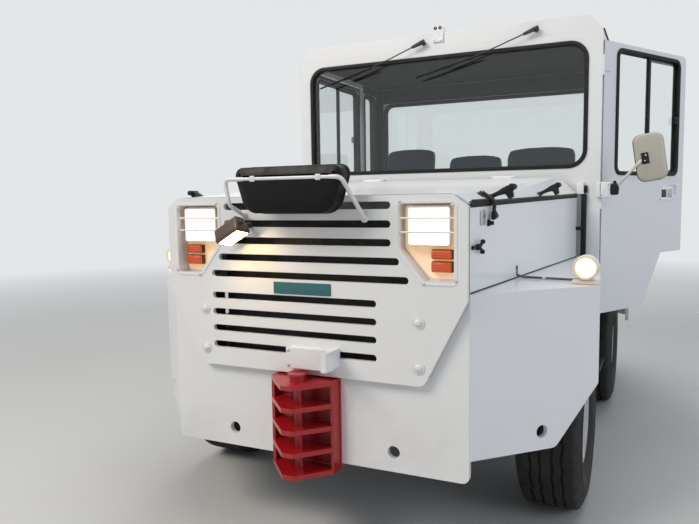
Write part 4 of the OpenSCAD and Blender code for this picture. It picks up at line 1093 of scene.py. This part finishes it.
boxes, welts = [], []
for number, (centre, width, height) in enumerate(SEATS):
    half = width / 2 - 0.011
    top = PLATFORM_Z + height
    pad = filled(block((centre - half, SEAT_Y + 0.011, 1.2275), (centre + half, SEAT_Y + 0.449, 1.3165), 0.03), SWELL)
    rows = [round_way(half, SEAT_Y + 0.011, SEAT_Y + 0.449, 0.04, lambda x, y, z=z: (centre + x, y, z))
            for z in (1.244, 1.305)]
    welts += [piping(pad, row) for row in rows]
    back = block((centre - half, SEAT_Y + 0.352, PLATFORM_Z + 0.262), (centre + half, SEAT_Y + 0.408, top - 0.01))
    edit(back)
    all_faces()
    bpy.ops.mesh.subdivide(number_cuts=8)
    done()
    for vertex in back.data.vertices:
        x, z = vertex.co.x - centre, vertex.co.z
        narrow = max(0.0, (z - (top - 0.12)) / 0.12)
        vertex.co.x = centre + x * (1 - 0.1 * narrow ** 2)
        vertex.co.z -= 0.03 * narrow * (abs(x) / half) ** 3
    back = filled(lean_back(rounded(back, 0.024)), SWELL)
    deep = SEAT_Y + 0.38
    for side in (-0.03, 0.03):
        row = round_way(half, PLATFORM_Z + 0.29, top - 0.022, 0.07,
                        lambda x, z: (centre + x, deep + side + RAKE * (z - 1.331), z))
        welts.append(piping(back, row))
    for piece, name in ((pad, "cushion"), (back, "back")):
        piece = keep(piece, "seat_%s_%d" % (name, number + 1), CLOTH, smooth=60,
                     replaces=["seats"] if name == "cushion" else ())
    box = block((centre - 0.18, SEAT_Y + 0.06, PLATFORM_Z + 0.0003), (centre + 0.18, SEAT_Y + 0.36, 1.2265), 0.006)
    slide = [block((centre + x - 0.012, SEAT_Y + 0.03, 1.205), (centre + x + 0.012, SEAT_Y + 0.42, 1.2265), 0.002)
             for x in (-0.165, 0.165)]
    boxes += [box] + slide
keep(welts, "seat_piping", PIPING)
keep(boxes, "seat_boxes", BLACK_PAINT, slot="black_plastic")


# Cab inside: instrument hood with dials, switches, pedals, levers and floor mat

DASH_TOP, FLOOR_TOP = 1.56, 0.765
INSIDE_Y = CAB_Y + WALL
cowl = sheet_outline([(0.335, 1.478), (0.665, 1.478), (0.665, 1.585), (0.62, 1.622), (0.38, 1.622), (0.335, 1.585)],
                     0, 0.15, 0.012, 4)
keep(moved(rounded(cowl, 0.006, 3, 50), shift((0, INSIDE_Y + 0.05, 0))), "instrument_hood", PLASTIC)
rims, dials, needles = [], [], []
for x, radius in ((0.4, 0.036), (0.5, 0.05), (0.6, 0.036)):
    at = Vector((x, INSIDE_Y + 0.2005, 1.548))
    bezel = turned([(reach, radius + more) for reach, more in (
        (0.0, 0), (0.006, 0.003), (0.01, 0), (0.01, -0.004), (0.0, -0.004))], 40)
    rims.append(moved(bezel, shift(at) @ swung("Z", 90)))
    dials.append(drum(radius - 0.003, 0.004, at + Vector((0, 0.001, 0)), "y", 40, 0.0005))
    for i in range(11):
        tick = block((-0.0008, 0.003, radius * 0.74), (0.0008, 0.0038, radius * 0.88))
        needles.append(moved(tick, shift(at) @ swung("Y", 135 - 27 * i)))
    pointer = block((-0.0013, 0.0042, -0.006), (0.0013, 0.0052, radius * 0.7))
    needles += [moved(pointer, shift(at) @ swung("Y", -60)),
                drum(0.004, 0.003, at + Vector((0, 0.005, 0)), "y", 16)]
keep(rims, "dial_rims", CHROME)
keep(dials, "dial_faces", SHELL)
keep(needles, "dial_marks", CREAM)
switches = []
for i in range(6):
    x = 0.15 - 0.062 * i
    switches.append(moved(block((x - 0.013, -0.004, -0.02), (x + 0.013, 0.006, 0.02), 0.003),
                          shift((0, INSIDE_Y + 0.235, 1.455)) @ swung("X", 33)))
keep(switches, "rocker_switches", SHELL)
pedals, pedal_arms = [], []
for x, wide in ((0.36, 0.03), (0.64, 0.024)):
    tread = [block((-wide, -0.006, -0.045), (wide, 0.006, 0.045), 0.004)]
    for i in range(5):
        z = -0.032 + 0.016 * i
        tread.append(block((-wide + 0.005, 0.005, z - 0.003), (wide - 0.005, 0.0085, z + 0.003), 0.001))
    pedals += moved(tread, shift((x, CAB_Y + 0.245, 0.88)) @ swung("X", -35))
    bends = [(x, CAB_Y + back, z) for back, z in ((0.24, 0.885), (0.16, 1.0), (0.1, 1.18))]
    pedal_arms.append(tube(eased(bends, 0.05), 0.008, 8))
keep(pedals, "pedal_pads", SEAL)
keep(pedal_arms, "pedal_arms", BLACK_PAINT)
lever = eased([(0.18, 2.35, 0.766), (0.18, 2.345, 0.96), (0.2, 2.3, 1.18)], 0.08)
keep(tube(lever, 0.009, 8), "shift_lever", ZINC)
knob = [moved(dome(0.026, (0, 0, 0), 0.9, "z", 24), shift((0.2015, 2.296, 1.18))),
        drum(0.024, 0.012, (0.2005, 2.298, 1.175), "z", 24, 0.004),
        drum(0.05, 0.03, (0.18, 2.35, 0.7805), "z", 32, 0.006, 0.022)]
keep(knob, "shift_knob", PLASTIC)
mat = [block((-0.94, CAB_Y + 0.06, FLOOR_TOP + 0.0002), (0.94, 2.35, FLOOR_TOP + 0.0052), 0.002)]
for i in range(40):
    x = -0.92 + 0.0472 * i
    mat.append(block((x - 0.004, CAB_Y + 0.075, FLOOR_TOP + 0.005), (x + 0.004, 2.335, FLOOR_TOP + 0.0072)))
keep(mat, "floor_mat", SEAL)
hub = [drum(0.046, 0.012, (0, 0, 0.014), "z", 40, 0.004), drum(0.016, 0.006, (0, 0, 0.022), "z", 32, 0.002)]
column_lean = math.atan2(0.25, DASH_TOP - 0.7653)
wheel_place = shift((0.5, INSIDE_Y + 0.44, DASH_TOP)) @ Matrix.Rotation(-column_lean, 4, "X")
keep(moved(hub, wheel_place), "horn_button", PLASTIC)


# Cab inside: felt liner on the ceiling, and the same dark sheets on the rear wall round its window and on the side
# frames, which make them darker

CEILING = 2.445
REAR_WALL = CAB_REAR - WALL
dark_sheets = [block((-0.982, INSIDE_Y + 0.003, CEILING - 0.01), (0.982, REAR_WALL - 0.001, CEILING - 0.0003), 0.003)]
FELT_LOW, FELT_TOP = 1.07, 2.433
for low, high in (((-0.982, FELT_LOW), (-0.931, FELT_TOP)), ((0.931, FELT_LOW), (0.982, FELT_TOP)),
                  ((-0.93, FELT_LOW), (0.93, 1.543)), ((-0.93, 2.307), (0.93, FELT_TOP))):
    dark_sheets.append(block((low[0], REAR_WALL - 0.006, low[1]), (high[0], REAR_WALL - 0.0003, high[1]), 0.002))
sides = [block((CAB_HALF - WALL - 0.006, low[0], low[1]), (CAB_HALF - WALL - 0.0003, high[0], high[1]), 0.002)
         for low, high in (((2.852, 1.1), (3.167, 1.583)), ((2.852, 2.367), (3.167, FELT_TOP)),
                           ((3.122, 1.585), (3.167, 2.365)))]
keep(dark_sheets + both(sides), "cab_felt_and_dark_sheets", FELT_AND_PAINTED_SHADE)


# Front coupling: weld beads, and the fittings of the socket housing over it

COUPLING_TOP, JAW_PITCH, JAW_T = 0.7, 0.095, 0.02


def bead(start, end, count, radius=0.0042):
    """A weld bead: overlapping ripples from start to end"""
    start, end = Vector(start), Vector(end)
    ripple = tube([(-0.0034, 0, 0), (0.0034, 0, 0)], radius, 6)
    turn = (end - start).to_track_quat("X", "Z").to_matrix().to_4x4()
    made = [copied(ripple, shift(start.lerp(end, (i + 0.5) / count)) @ turn) for i in range(count)]
    bpy.data.objects.remove(ripple)
    return made


welds = []
for i in range(5):
    z = COUPLING_TOP - i * JAW_PITCH
    for side in (z - JAW_T, z):
        if i == 0 and side == z or i == 4 and side == z - JAW_T:
            continue
        welds += bead((-0.134, -0.017, side), (0.134, -0.017, side), 40)
keep(welds, "coupling_welds", RED)
base_welds = bead((-0.148, -0.001, 0.7015), (0.148, -0.001, 0.7015), 44)
for x in (-0.1515, 0.1515):
    base_welds += bead((x, -0.001, 0.303), (x, -0.001, 0.699), 58)
keep(base_welds, "coupling_base_welds", RED)
keep(screws(0.0048, [(x, PANEL_FACE - 0.0403, z) for x in (-0.058, 0.13) for z in (0.754, 0.818)]),
     "socket_housing_screws", ZINC)
keep(drum(0.006, 0.074, (0.1425, PANEL_FACE - 0.0435, 0.799), "z", 20, 0.001), "socket_lid_hinge", ZINC)
keep(block((0.1405, PANEL_FACE - 0.122, 0.768), (0.1432, PANEL_FACE - 0.052, 0.83), 0.001), "socket_lid_seal", SEAL)


# Rear: lamps on the rear plate, and bolts

REAR_Y = 3.85
TAIL_Z, TAIL_H = 0.904, 0.082
for side, name in ((1, "left"), (-1, "right")):
    low, high = sorted((side * 0.62, side * 0.82))
    base = block((low, REAR_Y - 0.0003, TAIL_Z - 0.004), (high, REAR_Y + 0.016, TAIL_Z + TAIL_H + 0.004), 0.004)
    keep(base, name + "_tail_base", PLASTIC, replaces=["tail_lamps"])
    split = low + 0.072 if side < 0 else high - 0.072
    red_end, amber_end = (high, low) if side < 0 else (low, high)
    for tone, end, kind in ((AMBER, amber_end, "amber_lens"), (TAIL_RED, red_end, "red_lens")):
        x0, x1 = sorted((split, end))
        cover = [block((x0 + 0.004, REAR_Y + 0.014, TAIL_Z), (x1 - 0.004, REAR_Y + 0.037, TAIL_Z + TAIL_H), 0.007, 4)]
        for i in range(1, 8):
            z = TAIL_Z + TAIL_H * i / 8
            cover.append(block((x0 + 0.01, REAR_Y + 0.0362, z - 0.0016),
                               (x1 - 0.01, REAR_Y + 0.0388, z + 0.0016), 0.0008))
        keep(cover, "%s_tail_%s" % (name, kind), tone)
    keep([dome(0.0045, (x, REAR_Y + 0.0368, 0.945), 0.6, "y", 16) for x in (low + 0.01, high - 0.01)],
         name + "_tail_screws", ZINC)
rear_bolts = screws(0.011, [(x, REAR_Y, z) for x in (-0.7, -0.36, 0.36, 0.7) for z in (0.56, 0.8)], 1)
keep(rear_bolts, "rear_plate_bolts", WHITE_CHASSIS)


# Springs: clamp bolts over the leaves

clamps = []
for y in (FRONT_AXLE, REAR_AXLE):
    for dy in (-0.052, 0.052):
        for x in (0.352, 0.448):
            clamps.append(tube([(x, y + dy, AXLE_Z - 0.075), (x, y + dy, AXLE_Z + 0.108)], 0.007, 8))
            clamps.append(drum(0.012, 0.011, (x, y + dy, AXLE_Z - 0.07), "z", 6, 0.001))
        clamps.append(tube([(0.352, y + dy, AXLE_Z + 0.107), (0.448, y + dy, AXLE_Z + 0.107)], 0.007, 8))
    clamps.append(block((0.34, y - 0.066, AXLE_Z - 0.066), (0.46, y + 0.066, AXLE_Z - 0.056), 0.002))
keep(both(clamps), "spring_clamps", BLACK_PAINT)


# Stage, lamps and camera

WALL_CODE = "#e4e6e8"


def seen(tree):
    """1 where the ray comes from the camera or through gloss or glass, and 0 where it lights the tractor"""
    path = add(tree, "ShaderNodeLightPath").outputs
    either = calc(tree, "MAXIMUM", path["Is Camera Ray"], path["Is Glossy Ray"])
    return calc(tree, "MAXIMUM", either, path["Is Transmission Ray"])


def stage():
    """A pale floor that runs into the wall's colour away from the tractor"""
    nothing()
    bpy.ops.mesh.primitive_plane_add(size=120, location=(0, 0, 0))
    floor = bpy.context.object
    floor.name = "floor"
    mat, tree, shader = finish("studio_floor_paint", Base_Color=linear("#c6c7c6"), Roughness=0.75)
    reach = add(tree, "ShaderNodeVectorMath", {0: here(tree)}, operation="LENGTH").outputs["Value"]
    far = calc(tree, "MULTIPLY", between(tree, reach, 4.0, 13.0), seen(tree))
    wall = add(tree, "ShaderNodeEmission", {"Color": linear(WALL_CODE), "Strength": 1.0})
    mixed = either_shader(tree, far, shader, wall)
    feed(tree.nodes["Material Output"], "Surface", mixed)
    floor.data.materials.append(mat)


def lamp(name, at, target, size, power, code="#ffffff"):
    bpy.ops.object.light_add(type="AREA", location=at)
    light = bpy.context.object
    light.name = name
    light.data.shape = "RECTANGLE"
    light.data.size, light.data.size_y = size
    light.data.energy = power
    light.data.color = linear(code)[:3]
    light.visible_camera = light.visible_transmission = False
    light.rotation_euler = (Vector(target) - Vector(at)).to_track_quat("-Z", "Y").to_euler()


def world():
    sky = bpy.data.worlds.new("studio")
    bpy.context.scene.world = sky
    sky.use_nodes = True
    tree = sky.node_tree
    wall = add(tree, "ShaderNodeBackground", {"Color": linear(WALL_CODE), "Strength": 1.0})
    glow = add(tree, "ShaderNodeBackground", {"Color": linear("#dfe5ec"), "Strength": 0.36})
    mixed = either_shader(tree, seen(tree), glow, wall)
    feed(tree.nodes["World Output"], "Surface", mixed)


IMAGE_W = 699
FOCAL_PX = 663.4
YAW, PITCH, ROLL = (math.radians(a) for a in (25.24, 5.37, -0.79))
EYE = Vector((1.375, -2.485, 1.456))


def camera():
    """At the photograph's place: right, up and forward are its axes"""
    forward = Vector((-math.sin(YAW) * math.cos(PITCH), math.cos(YAW) * math.cos(PITCH), -math.sin(PITCH)))
    level = Vector((math.cos(YAW), math.sin(YAW), 0))
    above = level.cross(forward)
    right = math.cos(ROLL) * level + math.sin(ROLL) * above
    up = math.cos(ROLL) * above - math.sin(ROLL) * level
    view = bpy.data.cameras.new("camera")
    view.sensor_width = 36
    view.lens = FOCAL_PX / IMAGE_W * view.sensor_width
    view.clip_end = 200
    eye = bpy.data.objects.new("camera", view)
    bpy.context.scene.collection.objects.link(eye)
    turn = Matrix((right, up, -forward)).transposed().to_4x4()
    eye.matrix_world = shift(EYE + Vector((CENTRE_X, FACE_Y, DATUM_Z))) @ turn
    bpy.context.scene.camera = eye


stage()
world()
lamp("key_softbox", (-3.5, -6.5, 6.6), (0.0, -1.0, 1.0), (4.5, 3.0), 430, "#fff6ea")
lamp("side_softbox", (6.5, -3.0, 3.5), (0.5, -0.5, 1.0), (4.0, 3.0), 120, "#eef3ff")
lamp("top_softbox", (0.0, 1.0, 6.5), (0.0, 0.5, 1.0), (6.0, 5.0), 190)
lamp("rear_softbox", (-3.0, 7.0, 4.5), (0.0, 1.0, 1.2), (4.0, 3.0), 80)
camera()
bpy.context.scene.view_settings.view_transform = "Standard"
